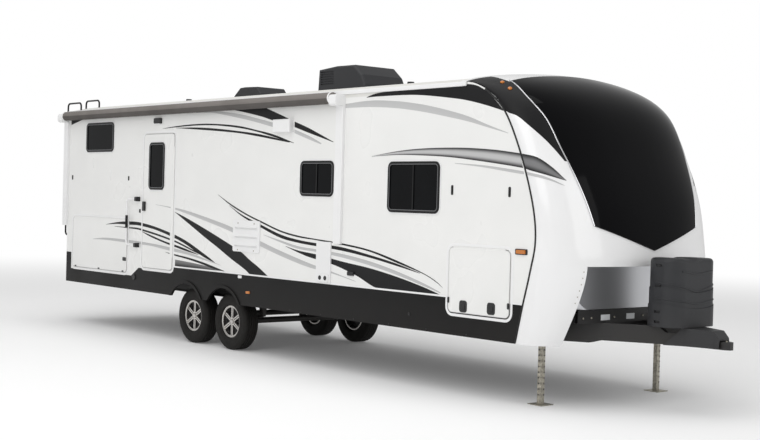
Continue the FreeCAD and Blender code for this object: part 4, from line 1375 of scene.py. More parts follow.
class Graphics:
    """All the stripes, on both long sides and round the cap's cheeks."""

    def build(self) -> int:
        """Lay every stripe on every panel that it reaches.

        Returns:
            How many pieces were laid.
        """
        count = 0
        for side, panels in ((Side.DOOR, door_side_panels()), (Side.OFF, off_side_panels())):
            for panel in panels:
                count += sum(1 for stripe in STRIPES if stripe.cut_to(panel, side))
        for side in Side:
            for stripe in CAP_STRIPES:
                stripe.press_on(FRONT_CAP, side)
                count += 1
        return count


@dataclass(frozen=True)
class CapTrim:
    """The rubber bulb along the cap's seam, the black nose panel with its beads, and two lamps a side."""

    seam: tuple = (
        (8.930, 3.090), (9.200, 2.870), (9.430, 2.460), (9.610, 1.965), (9.660, 1.610), (9.600, 1.300),
        (9.520, 0.990), (9.432, 0.612),
    )
    bulb_radius: float = 0.0095
    bead_radius: float = 0.0075
    panel_edge: tuple = (
        (1.000, 3.180), (1.050, 3.000), (1.000, 2.784), (0.965, 2.539), (0.930, 2.373),
        (0.858, 2.059), (0.785, 1.763),
    )
    panel_point: float = 1.530
    panel_top_station: float = 9.060
    panel_lift: float = 0.0105
    columns: int = 48
    rows: int = 40
    panel_foot: float = 0.0004
    panel_top_gap: float = 0.002
    bead_lift: float = 0.006
    bead_gap: float = 0.004
    lamps: tuple = ((9.028, 3.157), (9.157, 3.088))
    lamp_profile: tuple = ((-0.004, 0.022), (0.008, 0.022), (0.015, 0.016), (0.018, 0.007))

    def build(self) -> None:
        """Build both bulbs, the nose panel's face, its beads and the clearance lamps."""
        for side in Side:
            self.build_bulb(side)
        self.build_face(FRONT_CAP)
        self.build_beads(FRONT_CAP)
        self.build_markers(FRONT_CAP)

    def build_bulb(self, side: Side) -> None:
        """Follow the cap's own rear edge with a rubber bulb.

        Args:
            side: The side of the caravan.
        """
        edge = natural_curve([(z, x) for x, z in self.seam], 0.05)
        bulb = Piece(f"seam_bulb_{side.name.lower()}", SEAL)
        path = [Vector((station(x) - 0.002, side.value * (HALF_WIDTH + 0.001), z)) for z, x in edge]
        bulb.tube(path, self.bulb_radius, 8)
        bulb.place()

    def on_cap(self, cap: BVHTree, y: float, z: float, lift: float) -> Vector | None:
        """Return the cap's point ahead of an offset and height, raised along its normal."""
        hit, normal, _, _ = cap.ray_cast(Vector((FROM_AHEAD, y, z)), -AHEAD)
        return hit + normal * lift if hit else None

    def half_width_at(self, edge: list[Point], z: float) -> float:
        """Return the nose panel's half width at a height.

        Args:
            edge: The panel's edge as (offset, height) points, from its top.
            z: The height.

        Returns:
            The distance from the middle to the panel's edge.
        """
        for (y0, z0), (y1, z1) in zip(edge, edge[1:]):
            if z1 <= z <= z0:
                return y0 + (y1 - y0) * (z0 - z) / (z0 - z1)
        return edge[0][0] if z > edge[0][1] else edge[-1][0]

    def build_face(self, cap: BVHTree) -> None:
        """Press the black nose panel onto the cap, with a thin edge all round.

        Args:
            cap: The cap's faces.
        """
        edge = natural_curve(list(self.panel_edge), 0.03)
        piece = Piece("nose_panel_face", NOSE)
        mesh = piece.mesh
        grid = []
        for row in range(self.rows + 1):
            line = []
            for column in range(self.columns + 1):
                share = 2 * column / self.columns - 1
                foot = self.panel_point + (edge[-1][1] - self.panel_point) * abs(share)
                over = Vector((station(self.panel_top_station), share * edge[0][0], FROM_ABOVE))
                top = cap.ray_cast(over, -UP)[0].z - self.panel_top_gap
                z = foot + (top - foot) * row / self.rows
                y = share * self.half_width_at(edge, z)
                line.append(cap.ray_cast(Vector((FROM_AHEAD, y, z)), -AHEAD)[:2])
            grid.append(line)
        front = [[
            mesh.verts.new(hit + normal * self.panel_lift) for hit, normal in line
        ] for line in grid]
        for low, high in zip(front, front[1:]):
            for i in range(self.columns):
                mesh.faces.new((low[i], low[i + 1], high[i + 1], high[i]))
        last = self.columns
        rim = [(0, i) for i in range(last)] + [(j, last) for j in range(self.rows)]
        rim += [(self.rows, i) for i in range(last, 0, -1)] + [(j, 0) for j in range(self.rows, 0, -1)]
        back = [mesh.verts.new(grid[j][i][0] + grid[j][i][1] * self.panel_foot) for j, i in rim]
        for index, (j, i) in enumerate(rim):
            nj, ni = rim[(index + 1) % len(rim)]
            mesh.faces.new((front[j][i], back[index], back[(index + 1) % len(rim)], front[nj][ni]))
        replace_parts(piece.place(), "nose_panel")

    def build_beads(self, cap: BVHTree) -> None:
        """Lay the bright bead down both long edges of the nose panel.

        Args:
            cap: The cap's faces.
        """
        edge = natural_curve(list(self.panel_edge), 0.05)
        for side in Side:
            bead = Piece(f"nose_panel_bead_{side.name.lower()}", ALLOY_BEAD)
            path = [
                self.on_cap(cap, side.value * (y + self.bead_gap), z, self.bead_lift) for y, z in edge
            ]
            bead.tube([point for point in path if point], self.bead_radius, 8)
            bead.place()

    def build_markers(self, cap: BVHTree) -> None:
        """Set the amber clearance lamps on the cap's shoulders.

        Args:
            cap: The cap's faces.
        """
        for side in Side:
            for index, (x, z) in enumerate(self.lamps):
                start = Vector((station(x), side.value * FROM_BESIDE, z))
                hit, normal, _, _ = cap.ray_cast(start, Vector((0, -side.value, 0)))
                if hit:
                    lens = Piece(f"clearance_lamp_{side.name.lower()}_{index}", AMBER)
                    lens.lathe(hit, normal, self.lamp_profile, 20)
                    lens.place()


@dataclass(frozen=True)
class Wheel:
    """One dressed wheel: a grooved tyre in place of the CAD ring, dark pockets, a lip, a cap and nuts."""

    place: str
    axle_x: float
    side: Side
    radius: float = 0.360
    segments: int = 180
    groove_depth: float = 0.008
    crown_share: float = 0.74
    groove_shares: tuple = (-0.60, -0.20, 0.20, 0.60)
    lug_circle: float = 0.057
    lugs: int = 6
    lip_points: int = 96
    sidewall: tuple = (
        (0.72, 0.206), (0.90, 0.214), (0.97, 0.235), (1.00, 0.262), (1.00, 0.285),
        (0.985, 0.300), (0.992, 0.303), (0.96, 0.322), (0.90, 0.340),
    )
    lip_profile: tuple = (
        (-0.012, 0.205), (0.003, 0.207), (0.006, 0.203), (0.002, 0.190), (-0.012, 0.184)
    )
    pocket_profile: tuple = (
        (-0.075, 0.182), (-0.045, 0.183), (-0.045, 0.176), (-0.070, 0.165), (-0.070, 0.06)
    )
    cap_profile: tuple = (
        (-0.030, 0.036), (-0.010, 0.036), (-0.004, 0.034), (0.0, 0.028), (0.001, 0.012)
    )
    nut_profile: tuple = ((-0.034, 0.0105), (-0.010, 0.0105), (-0.006, 0.008), (-0.005, 0.004))

    @property
    def body(self) -> str:
        """Return the wheel's body in the frame."""
        return f"wheel_{self.place}_{'right' if self.side is Side.DOOR else 'left'}"

    @property
    def node(self) -> str:
        """Return the tyre's node in the frame."""
        return self.body.replace("wheel", "tyre")

    def build(self) -> None:
        """Build the tyre and all that is bolted behind and on the rim."""
        low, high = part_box(self.node)
        self.build_tyre(low, high)
        self.build_hub()

    def tyre_profile(self, half: float) -> list[Point]:
        """Return (across, radius) points from one bead over the tread to the other.

        Args:
            half: Half the tyre's width.

        Returns:
            The points of the closed profile.
        """
        r = self.radius
        crown = half * self.crown_share
        side = [(-half * share, radius) for share, radius in self.sidewall]
        side += [(-crown - 0.006, r - 0.007), (-crown, r - 0.002)]
        tread = []
        for centre in self.groove_shares:
            middle = crown * centre
            tread += [
                (middle - 0.0065, r), (middle - 0.0045, r - self.groove_depth),
                (middle + 0.0045, r - self.groove_depth), (middle + 0.0065, r),
            ]
        return side + tread + [(-a, b) for a, b in side[::-1]]

    def build_tyre(self, low: Vector, high: Vector) -> None:
        """Turn the tyre's profile and notch its shoulders between the tread blocks.

        Args:
            low: The CAD tyre's low corner.
            high: The CAD tyre's high corner.
        """
        centre = (low + high) / 2
        half = (high.y - low.y) / 2
        centre.x = station(self.axle_x)
        centre.z = self.radius
        profile = self.tyre_profile(half)
        crown = half * self.crown_share
        tyre = Piece(f"tyre_tread_{self.body[6:]}", TYRE, self.body)
        rings = []
        for across, radius in profile:
            ring = []
            for i in range(self.segments):
                turn = math.tau * i / self.segments
                notch = 0.0
                if i % 4 == 0 and abs(across) > crown * 0.60 + 0.008 and radius > self.radius - 0.012:
                    notch = 0.005
                if i % 4 == 2 and abs(across) < crown * 0.55 and radius > self.radius - 0.002:
                    notch = 0.002
                reach = radius - notch
                ring.append(centre + Vector((reach * math.cos(turn), across, reach * math.sin(turn))))
            rings.append(ring)
        tyre.loft(rings, closed=True)
        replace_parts(tyre.place(), self.node)

    def build_hub(self) -> None:
        """Build the painted pockets behind the spokes, the bright lip, the hub cap and the lug nuts."""
        out = self.side.value
        low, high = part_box(self.node.replace("tyre", "rim"))
        face = high.y if out > 0 else low.y
        centre = Vector((station(self.axle_x), 0, self.radius))
        axis = Vector((0, out, 0))
        at_face = centre + Vector((0, face, 0))
        tag = self.body[6:]
        pocket = Piece(f"rim_pockets_{tag}", POCKET, self.body)
        pocket.lathe(at_face, axis, self.pocket_profile, 64)
        pocket.place()
        lip = Piece(f"rim_lip_{tag}", MACHINED, self.body)
        lip.loft(
            [
                circle(at_face + axis * along, AHEAD, UP, radius, self.lip_points)
                for along, radius in self.lip_profile
            ],
            closed=True,
        )
        lip.place()
        cap = Piece(f"hub_cap_{tag}", MACHINED, self.body)
        cap.lathe(at_face, axis, self.cap_profile, 40)
        cap.place()
        nuts = Piece(f"lug_nuts_{tag}", MACHINED, self.body)
        for index in range(self.lugs):
            turn = math.tau * (index + 0.5) / self.lugs
            spot = at_face + Vector((
                self.lug_circle * math.cos(turn), 0, self.lug_circle * math.sin(turn)
            ))
            nuts.lathe(spot, axis, self.nut_profile, 6)
        nuts.place()


@dataclass(frozen=True)
class WindowTrim:
    """The glazing bead inside a window's black frame, grey as a painted highlight, and the pale sealant
    line round it.
    """

    name: str
    size: tuple
    face: float
    body: Body
    side: Side
    radius: float = 0.070
    proud: float = 0.012
    rim: float = 0.034

    def build(self) -> None:
        """Build both rings on the window's own plane."""
        x0, x1, z0, z1 = self.size
        plane = side_plane(self.side, self.face)
        rim = self.rim

        def inset(amount: float) -> list[Point]:
            """Return the window's outline drawn in by an amount."""
            return rounded_box(x0 + amount, x1 - amount, z0 + amount, z1 - amount, self.radius - amount)

        # The bead's grey stands for the highlight along the frame's inner edge: a painted highlight
        bead = Piece(f"glazing_bead_{self.name}", BEAD_HIGHLIGHT_GREY, self.body.value)
        bead.band(
            plane, inset(rim - 0.009), inset(rim - 0.003), self.proud - 0.004, self.proud + 0.0012
        )
        bead.place()
        sealant = Piece(f"window_sealant_{self.name}", WHITE_ABS, self.body.value)
        sealant.band(plane, inset(-0.018), inset(0.0005), SEAT, 0.0045)
        sealant.place()


@dataclass(frozen=True)
class ShutTrim:
    """The flat frame round a door or hatch on the wall, and a grey line along the leaf's edge as painted
    shadow of the gap.
    """

    name: str
    size: tuple
    leaf: Body
    leaf_face: float
    side: Side
    radius: float = 0.060
    frame_width: float = 0.028

    def build(self) -> None:
        """Build the wall's frame, and the grey line of painted gap shadow on the leaf."""
        x0, x1, z0, z1 = self.size
        wall = side_plane(self.side, HALF_WIDTH)
        leaf = side_plane(self.side, self.leaf_face)

        def grown(amount: float) -> list[Point]:
            """Return the opening's outline grown by an amount."""
            return rounded_box(x0 - amount, x1 + amount, z0 - amount, z1 + amount, self.radius + amount)

        frame_ring = Piece(f"frame_{self.name}", WHITE_POWDER, smooth=False)
        frame_ring.band(wall, grown(SHUT_GAP + self.frame_width), grown(SHUT_GAP), SEAT, 0.0016)
        frame_ring.place()
        # A grey band just inside the leaf's edge: painted shadow of the shut gap
        edge = Piece(f"edge_{self.name}", GAP_SHADOW_GREY, self.leaf.value, smooth=False)
        edge.band(leaf, grown(-0.004), grown(-0.010), SEAT, 0.0014)
        edge.place()


def fit(name: str, finish: Finish, plane: Plane, *plates: tuple, body: Body = Body.TRAILER) -> None:
    """Build one piece from plates that stand on one plane.

    Args:
        name: The object's name.
        finish: The finish it gets.
        plane: The plane that the plates stand on.
        plates: Each plate's outline, the heights of its back and face, and its ease.
        body: The body that it rides on.
    """
    piece = Piece(name, finish, body.value)
    for plate in plates:
        piece.plate(plane, *plate)
    piece.place()


@dataclass(frozen=True)
class SideHardware:
    """The small fittings of the long sides: latches, catches, lamps, outlets and screws.

    Boxes are given as low and high station, then low and high edge.
    """

    paddles: tuple = ((8.700, 0.909), (9.096, 0.916))
    paddle_half: tuple = (0.055, 0.060)
    catches: tuple = (
        (8.488, 2.030, 2.130), (9.300, 2.020, 2.120), (0.147, 2.140, 2.210), (1.850, 2.137, 2.200),
    )
    off_side_from: float = 8.0
    edge_catches: tuple = (8.484, 9.331)
    edge_catch_run: tuple = (0.930, 0.990)
    kitchen_latch: tuple = (1.745, 1.832, 1.000, 1.052)
    kitchen_fasteners: tuple = (0.318, 1.038, 1.747)
    fastener_run: tuple = (0.842, 0.862)
    marker_base: tuple = (9.400, 9.560, 1.468, 1.524)
    marker_lens: tuple = (9.418, 9.542, 1.476, 1.516)
    skirt_marker: tuple = (4.835, 4.915, 0.758, 0.790)
    porch_lamp: tuple = (2.545, 2.725, 2.915, 2.992)
    porch_lens: tuple = (2.570, 2.700, 2.906, 2.916)
    louvre_screws: tuple = ((4.640, 1.292), (4.640, 1.624), (4.990, 1.292), (4.990, 1.624))
    louvre_proud: float = 0.014
    outlet_box: tuple = (6.301, 6.500, 1.004, 1.100)
    outlet_covers: tuple = ((6.352, 1.052), (6.450, 1.052))
    outlet_proud: float = 0.016
    belt_box: tuple = (6.830, 6.940, 1.106, 1.152)
    fill_cap: tuple = (2.062, 0.788, 0.042)
    drain_cap: tuple = (7.876, 0.763, 0.016)
    belt_tab: tuple = (4.655, 4.730, 0.938, 0.974)

    def build(self) -> None:
        """Build all of them."""
        for side, leaf in ((Side.DOOR, Body.STORE_RIGHT), (Side.OFF, Body.STORE_LEFT)):
            self.build_hatch(side_plane(side, HATCH_FACE), leaf)
        self.build_kitchen_latch()
        for side in Side:
            self.build_catches(side)
        for side in Side:
            wall, tag = side_plane(side, HALF_WIDTH), side.name.lower()
            base, lens = rounded_box(*self.marker_base, 0.012), rounded_box(*self.marker_lens, 0.010)
            fit(f"marker_base_{tag}", BLACK_ABS, wall, (base, SEAT, 0.009, 0.002))
            fit(f"marker_lens_{tag}", AMBER, wall, (lens, 0.009, 0.021, 0.006))
        self.build_door_side()

    def build_hatch(self, plane: Plane, leaf: Body) -> None:
        """Build a baggage hatch's two paddle latches and the small catches at its lower edges.

        Args:
            plane: The hatch's face.
            leaf: The hatch.
        """
        wide, tall = self.paddle_half
        for index, (x, z) in enumerate(self.paddles):
            fit(
                f"paddle_latch_{leaf.value}_{index}", BLACK_ABS, plane,
                (rounded_box(x - wide, x + wide, z - tall, z + tall, 0.030), SEAT, 0.006, 0.003),
                (rounded_box(x - 0.030, x + 0.030, z - 0.040, z + 0.030, 0.020), 0.006, 0.012, 0.004),
                (disc(x, z - 0.018, 0.010, 16), 0.012, 0.014, 0.001),
                body=leaf,
            )
        boxes = [rounded_box(x - 0.012, x + 0.012, *self.edge_catch_run, 0.008) for x in self.edge_catches]
        plates = [(box, SEAT, 0.010, 0.003) for box in boxes]
        fit(f"edge_catches_{leaf.value}", BLACK_ABS, plane, *plates, body=leaf)

    def build_kitchen_latch(self) -> None:
        """Build the kitchen hatch's black latch and its three bottom fasteners."""
        run = self.fastener_run
        boxes = [rounded_box(x - 0.022, x + 0.022, *run, 0.006) for x in self.kitchen_fasteners]
        fit(
            "kitchen_latch", BLACK_ABS, side_plane(Side.DOOR, HATCH_FACE),
            (rounded_box(*self.kitchen_latch, 0.012), SEAT, 0.009, 0.003),
            *((box, SEAT, 0.006, 0.002) for box in boxes),
            body=Body.KITCHEN,
        )

    def build_catches(self, side: Side) -> None:
        """Build one side's black hold-back catches above the hatches.

        Args:
            side: The side of the caravan.
        """
        for index, (x, z0, z1) in enumerate(self.catches):
            if side is Side.OFF and x < self.off_side_from:
                continue
            fit(
                f"hold_back_{side.name.lower()}_{index}", BLACK_ABS, side_plane(side, HALF_WIDTH),
                (rounded_box(x - 0.016, x + 0.016, z0, z1, 0.010), SEAT, 0.004, 0.0015),
                (rounded_box(x - 0.008, x + 0.008, z0 + 0.012, z1 - 0.012, 0.006), 0.004, 0.010, 0.003),
            )

    def build_door_side(self) -> None:
        """Build what only the door side has: its lamps, outlets, screws and the fittings near the belt."""
        wall = side_plane(Side.DOOR, HALF_WIDTH)
        louvre = side_plane(Side.DOOR, HALF_WIDTH + self.louvre_proud)
        column = side_plane(Side.DOOR, HALF_WIDTH + self.outlet_proud)
        fit("skirt_marker", AMBER, wall, (rounded_box(*self.skirt_marker, 0.008), SEAT, 0.012, 0.004))
        fit("porch_lamp", BLACK_ABS, wall, (rounded_box(*self.porch_lamp, 0.016), SEAT, 0.034, 0.010))
        fit("porch_lens", WHITE_ABS, wall, (rounded_box(*self.porch_lens, 0.004), 0.004, 0.030, 0.002))
        screws = [(disc(x, z, 0.010, 14), -0.0004, 0.003, 0.002) for x, z in self.louvre_screws]
        fit("louvre_screws", GALVANISED, louvre, *screws)
        fit("outlet_box", WHITE_ABS, column, (rounded_box(*self.outlet_box, 0.014), SEAT, 0.014, 0.004))
        covers = [(disc(x, z, 0.026), 0.0142, 0.020, 0.004) for x, z in self.outlet_covers]
        fit("outlet_covers", BLACK_ABS, column, *covers)
        fit(
            "belt_boxes", BLACK_ABS, wall,
            (rounded_box(*self.belt_box, 0.010), 0.0016, 0.020, 0.005),
            (disc(*self.fill_cap, 28), SEAT, 0.012, 0.004),
            (disc(*self.drain_cap, 18), SEAT, 0.006, 0.002),
        )
        fit("belt_tab", WHITE_ABS, wall, (rounded_box(*self.belt_tab, 0.006), SEAT, 0.010, 0.003))


@dataclass(frozen=True)
class BeltTrim:
    """The thin pale strip where the wall meets the dark skirt, and the skirt's lower row of screws."""

    height: float = WALL_LOW
    width: float = BELT_STRIP_WIDTH
    runs: tuple = ((3.100, 8.455), (9.360, 9.505))
    off_runs: tuple = ((0.170, 3.545), (7.255, 8.455), (9.360, 9.505))
    screws_from: float = 0.35
    screws_to: float = 9.30
    wheel_opening: tuple = (2.85, 4.90)
    screw_height: float = 0.628
    screw_pitch: float = 0.600

    def build(self) -> None:
        """Build the strips and screws on both sides."""
        for side in Side:
            plane = side_plane(side, HALF_WIDTH)
            tag = side.name.lower()
            strip = Piece(f"belt_strip_{tag}", WHITE_POWDER, smooth=False)
            for x0, x1 in self.runs if side is Side.DOOR else self.off_runs:
                low, high = self.height, self.height + self.width
                strip.plate(plane, [(x1, high), (x0, high), (x0, low), (x1, low)], 0.0014, 0.0030)
            strip.place()
            screws = Piece(f"skirt_screws_{tag}", BLACK_ABS)
            x = self.screws_from
            while x < self.screws_to:
                if not self.wheel_opening[0] < x < self.wheel_opening[1]:
                    screws.plate(plane, disc(x, self.screw_height, 0.007, 10), SEAT, 0.0035, 0.002)
                x += self.screw_pitch
            screws.place()


@dataclass(frozen=True)
class AwningTrim:
    """The rolled awning: its cloth, a darker band painted along its underside as shade, both end caps and
    the gutter's knob.
    """

    axis_y: float = -1.302
    axis_z: float = 3.092
    radius: float = 0.065
    rear: float = 0.030
    front: float = 6.580
    cap_profile: tuple = ((-0.030, 0.0005), (-0.028, 0.003), (-0.004, 0.003), (-0.0005, -0.004))
    shade_start: float = 185.0
    shade_sweep: float = 130.0
    shade_steps: int = 12
    knob: tuple = (8.598, 8.664, 3.132, 3.186)

    def build(self) -> None:
        """Build the rolled cloth, the painted shade along its underside, both caps and the gutter's end
        knob.
        """
        roll = Piece("awning_roll", AWNING)
        roll.lathe(
            Vector((0, self.axis_y, self.axis_z)),
            AHEAD,
            [(station(self.rear), self.radius), (station(self.front), self.radius)],
            48,
        )
        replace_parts(roll.place(), "awning_roller")
        # A darker strip of the same cloth over the roll's lower half: painted shade under the roll
        underside_shade = Piece("awning_underside_shade", AWNING_UNDERSIDE_SHADE)
        rings = []
        for x in (self.rear + 0.004, self.front - 0.004):
            ring = []
            steps = list(range(self.shade_steps + 1))
            for radius, turns in ((self.radius + 0.0022, steps), (self.radius + 0.0004, steps[::-1])):
                for index in turns:
                    turn = math.radians(self.shade_start + self.shade_sweep * index / self.shade_steps)
                    y = self.axis_y + radius * math.cos(turn)
                    ring.append(Vector((station(x), y, self.axis_z + radius * math.sin(turn))))
            rings.append(ring)
        underside_shade.loft(rings)
        underside_shade.place()
        for name, x, way in (("rear", self.rear, -1), ("front", self.front, 1)):
            cap = Piece(f"awning_cap_{name}", WHITE_POWDER)
            centre = Vector((station(x), self.axis_y, self.axis_z))
            cap.lathe(
                centre, AHEAD * way, [(along, self.radius + grow) for along, grow in self.cap_profile],
                48
            )
            cap.place()
        knob = Piece("gutter_end_knob", WHITE_ABS)
        knob.plate(
            side_plane(Side.DOOR, HALF_WIDTH + 0.004), rounded_box(*self.knob, 0.014), 0.0, 0.020, 0.006
        )
        knob.place()


@dataclass(frozen=True)
class HandleTrim:
    """The grab handle's foam sleeve, its dark wall pads and the key plate by the door."""

    tube_y: float = -1.2683
    upright_x: float = 1.899
    hinge_x: float = 2.154
    sleeve: tuple = (1.470, 1.650)
    bracket_heights: tuple = (1.240, 1.880)
    tube_radius: float = 0.013
    key_plate: tuple = (2.166, 2.204, 1.690, 1.742)

    def build(self) -> None:
        """Build the sleeve round the upright, the pads at its hinges and the key plate."""
        sleeve = Piece("handle_sleeve", FOAM)
        low, high = self.sleeve
        grow = self.tube_radius
        sleeve.lathe(
            Vector((station(self.upright_x), self.tube_y, 0)),
            UP,
            [
                (low, grow + 0.0004), (low + 0.002, grow + 0.005), (high - 0.002, grow + 0.005),
                (high, grow + 0.0004)
            ],
            28,
        )
        sleeve.place()
        pads = Piece("handle_pads", BLACK_ABS)
        for z in self.bracket_heights:
            box = rounded_box(self.hinge_x - 0.030, self.hinge_x + 0.030, z - 0.034, z + 0.034, 0.012)
            pads.plate(side_plane(Side.DOOR, HALF_WIDTH), box, SEAT, 0.064, 0.006)
        pads.place()
        plate = Piece("key_plate", BLACK_ABS)
        plate.plate(
            side_plane(Side.DOOR, HALF_WIDTH), rounded_box(*self.key_plate, 0.008), SEAT, 0.006, 0.002
        )
        plate.place()


def high_point(high: Vector, along: float, y: float, up: float) -> Vector:
    """Return a point at the offset y, measured from a box's high corner along and up."""
    return Vector((high.x + along, y, high.z + up))


@dataclass(frozen=True)
class NoseGear:
    """The small parts at the nose: plates, leg holes, gas cover fittings, coupler pin and screws."""

    leg_x: float = 9.487
    leg_y: float = 0.900
    leg_half: float = 0.038
    hole_pitch: float = 0.055
    plates: tuple = ((-0.560, -0.425), (-0.175, -0.050))
    bolts: tuple = (-0.82, -0.70, -0.36, 0.08, 0.36, 0.70, 0.82)
    clip_heights: tuple = (1.410, 1.215, 0.970, 0.875)
    clip_run: tuple = (10.418, 10.467)
    ribs: tuple = ((1.245, 0.080, 100), (1.095, 0.045, 100), (1.375, 0.040, 52))
    slot: tuple = (-0.110, 0.080, 0.948, 0.964)
    nut_profile: tuple = ((0.0, 0.020), (0.004, 0.020), (0.005, 0.008), (0.030, 0.007), (0.032, 0.004))
    lever_path: tuple = ((-0.150, -0.004), (-0.180, 0.022), (-0.250, 0.030))
    chin_screws: int = 6

    def build(self) -> None:
        """Build all of them."""
        self.build_plates()
        self.build_leg_holes()
        self.build_gas_cover_clips()
        self.build_gas_cover_ribs()
        self.build_coupler_pin()
        self.build_chin_screws()

    def build_plates(self) -> None:
        """Build two small blank plates on the beam under the chin, with bolts between."""
        _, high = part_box("chassis_crossmembers")
        plane = end_plane(high.x, 1)
        pale = Piece("beam_plates", PLATE_PAPER, smooth=False)
        for y0, y1 in self.plates:
            pale.plate(plane, rounded_box(y0, y1, 0.850, 0.905, 0.004, 3), SEAT, 0.0012)
        pale.place()
        bolts = Piece("beam_bolts", GALVANISED)
        for y in self.bolts:
            bolts.lathe(
                plane.at(y, 0.878), plane.out, [(0.0, 0.010), (0.006, 0.010), (0.008, 0.006)], 6
            )
        bolts.place()

    def build_leg_holes(self) -> None:
        """Mark the pin holes down both front legs, on the front and outer faces, as dark discs of painted
        shade.
        """
        for side in Side:
            _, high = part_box("front_legs")
            # Dark discs stand for the holes: painted shade inside the tube
            holes = Piece(f"leg_holes_{side.name.lower()}", POCKET, smooth=False)
            y = side.value * self.leg_y
            front = end_plane(station(self.leg_x) + self.leg_half, 1)
            outer = side_plane(side, self.leg_y + self.leg_half)
            z = 0.10
            while z < high.z - 0.05:
                holes.plate(front, disc(y, z, 0.009, 12), SEAT, 0.0008)
                holes.plate(outer, disc(self.leg_x, z, 0.009, 12), SEAT, 0.0008)
                z += self.hole_pitch
            holes.place()

    def build_gas_cover_clips(self) -> None:
        """Build the black clips in the gas cover's side slots and the wing nut on its crown."""
        low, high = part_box("gas_bottle_cover")
        for side in Side:
            clips = Piece(f"gas_cover_clips_{side.name.lower()}", BLACK_ABS)
            plane = side_plane(side, high.y - 0.016)
            for z in self.clip_heights:
                clips.plate(
                    plane, rounded_box(*self.clip_run, z - 0.007, z + 0.007, 0.004, 3), 0.0, 0.007,
                    0.002
                )
            clips.place()
        nut = Piece("gas_cover_wing_nut", GALVANISED)
        spot = Vector(((low.x + high.x) / 2, 0, high.z - 0.037))
        nut.lathe(spot, UP, self.nut_profile, 20)
        nut.place()

    def build_gas_cover_ribs(self) -> None:
        """Press the moulded ribs round the gas cover, which sag at its front, and its lower slot."""
        low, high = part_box("gas_bottle_cover")
        cover = node_tree("gas_bottle_cover")
        ribs = Piece("gas_cover_ribs", DARK_MOULDING)
        for height, sag, reach in self.ribs:
            path = []
            for turn in range(-reach, reach + 1, 4):
                ahead = Vector((math.cos(math.radians(turn)), math.sin(math.radians(turn)), 0))
                z = height - sag * max(0.0, ahead.x) ** 2
                start = Vector(((low.x + high.x) / 2, 0, z)) + ahead * 1.5
                hit, normal, _, _ = cover.ray_cast(start, -ahead)
                if hit:
                    path.append(hit - normal * 0.003)
            ribs.tube(path, 0.010, 10)
        ribs.place()
        face = end_plane(high.x, 1)
        slot = Piece("gas_cover_slot", POCKET, smooth=False)
        slot.plate(face, rounded_box(*self.slot, 0.006, 4), SEAT, 0.0012)
        slot.place()

    def build_coupler_pin(self) -> None:
        """Build the coupler's latch lever and its pin."""
        _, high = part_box("ball_coupler")
        lever = Piece("coupler_lever", GALVANISED)
        lever.tube([high_point(high, along, 0.018, up) for along, up in self.lever_path], 0.006, 10)
        lever.tube([high_point(high, -0.045, -0.020, up) for up in (-0.003, 0.012)], 0.008, 12)
        lever.place()

    def build_chin_screws(self) -> None:
        """Build the row of screws down the inner edge of the cap's legs."""
        for side in Side:
            screws = Piece(f"chin_screws_{side.name.lower()}", GALVANISED)
            for index in range(self.chin_screws):
                share = index / (self.chin_screws - 1)
                y = side.value * (0.935 + 0.030 * share)
                z = 1.330 - 0.300 * share
                hit, normal, _, _ = FRONT_CAP.ray_cast(Vector((FROM_AHEAD, y, z)), -AHEAD)
                if hit and normal.x > 0.2:
                    screws.lathe(hit, normal, [(0.0, 0.006), (0.002, 0.006), (0.003, 0.003)], 10)
            screws.place()


@dataclass(frozen=True)
class RearGear:
    """What the rear wall carries: two tail lamps, a blank plate holder and the bumper's end caps."""

    wall_x: float = 0.0
    lamp_y: float = 1.010
    lamp_z: tuple = (1.080, 1.400)
    lens_z: tuple = (1.170, 1.388)
    clear_z: tuple = (1.092, 1.160)
    holder: tuple = (-0.165, 0.165, 1.020, 1.150)

    def build(self) -> None:
        """Build the lamps, the blank plate holder and the bumper's caps."""
        plane = end_plane(station(self.wall_x), -1)
        low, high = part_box("rear_bumper")
        x0 = low.x + ORIGIN_STATION
        square = rounded_box(x0 + 0.001, x0 + 0.099, low.z + 0.001, low.z + 0.099, 0.006, 3)
        for side in Side:
            tag = side.name.lower()
            y = side.value * self.lamp_y
            case = rounded_box(y - 0.060, y + 0.060, *self.lamp_z, 0.020)
            lens = rounded_box(y - 0.048, y + 0.048, *self.lens_z, 0.014)
            clear = rounded_box(y - 0.048, y + 0.048, *self.clear_z, 0.014)
            fit(f"tail_lamp_case_{tag}", BLACK_ABS, plane, (case, 0.0005, 0.016, 0.004))
            fit(f"tail_lamp_lens_{tag}", RED_LENS, plane, (lens, 0.016, 0.026, 0.006))
            fit(f"tail_lamp_clear_{tag}", WHITE_ABS, plane, (clear, 0.016, 0.024, 0.006))
            edge = high.y if side is Side.OFF else -low.y
            fit(f"bumper_cap_{tag}", BLACK_ABS, side_plane(side, edge), (square, SEAT, 0.008, 0.003))
        fit("plate_holder", BLACK_ABS, plane, (rounded_box(*self.holder, 0.010), 0.0005, 0.006, 0.002))


def build_windows() -> None:
    """Trim every window of both sides, the door and the slide-out room."""
    for name, size in WINDOWS.items():
        for side in Side:
            if side is Side.OFF and name == "lounge":
                continue
            WindowTrim(f"{name}_{side.name.lower()}", size, HALF_WIDTH, Body.TRAILER, side).build()
    WindowTrim("door", DOOR_WINDOW, DOOR_FACE, Body.DOOR, Side.DOOR).build()
    WindowTrim("slide", SLIDE_WINDOW, SLIDE_FACE, Body.SLIDE, Side.OFF).build()


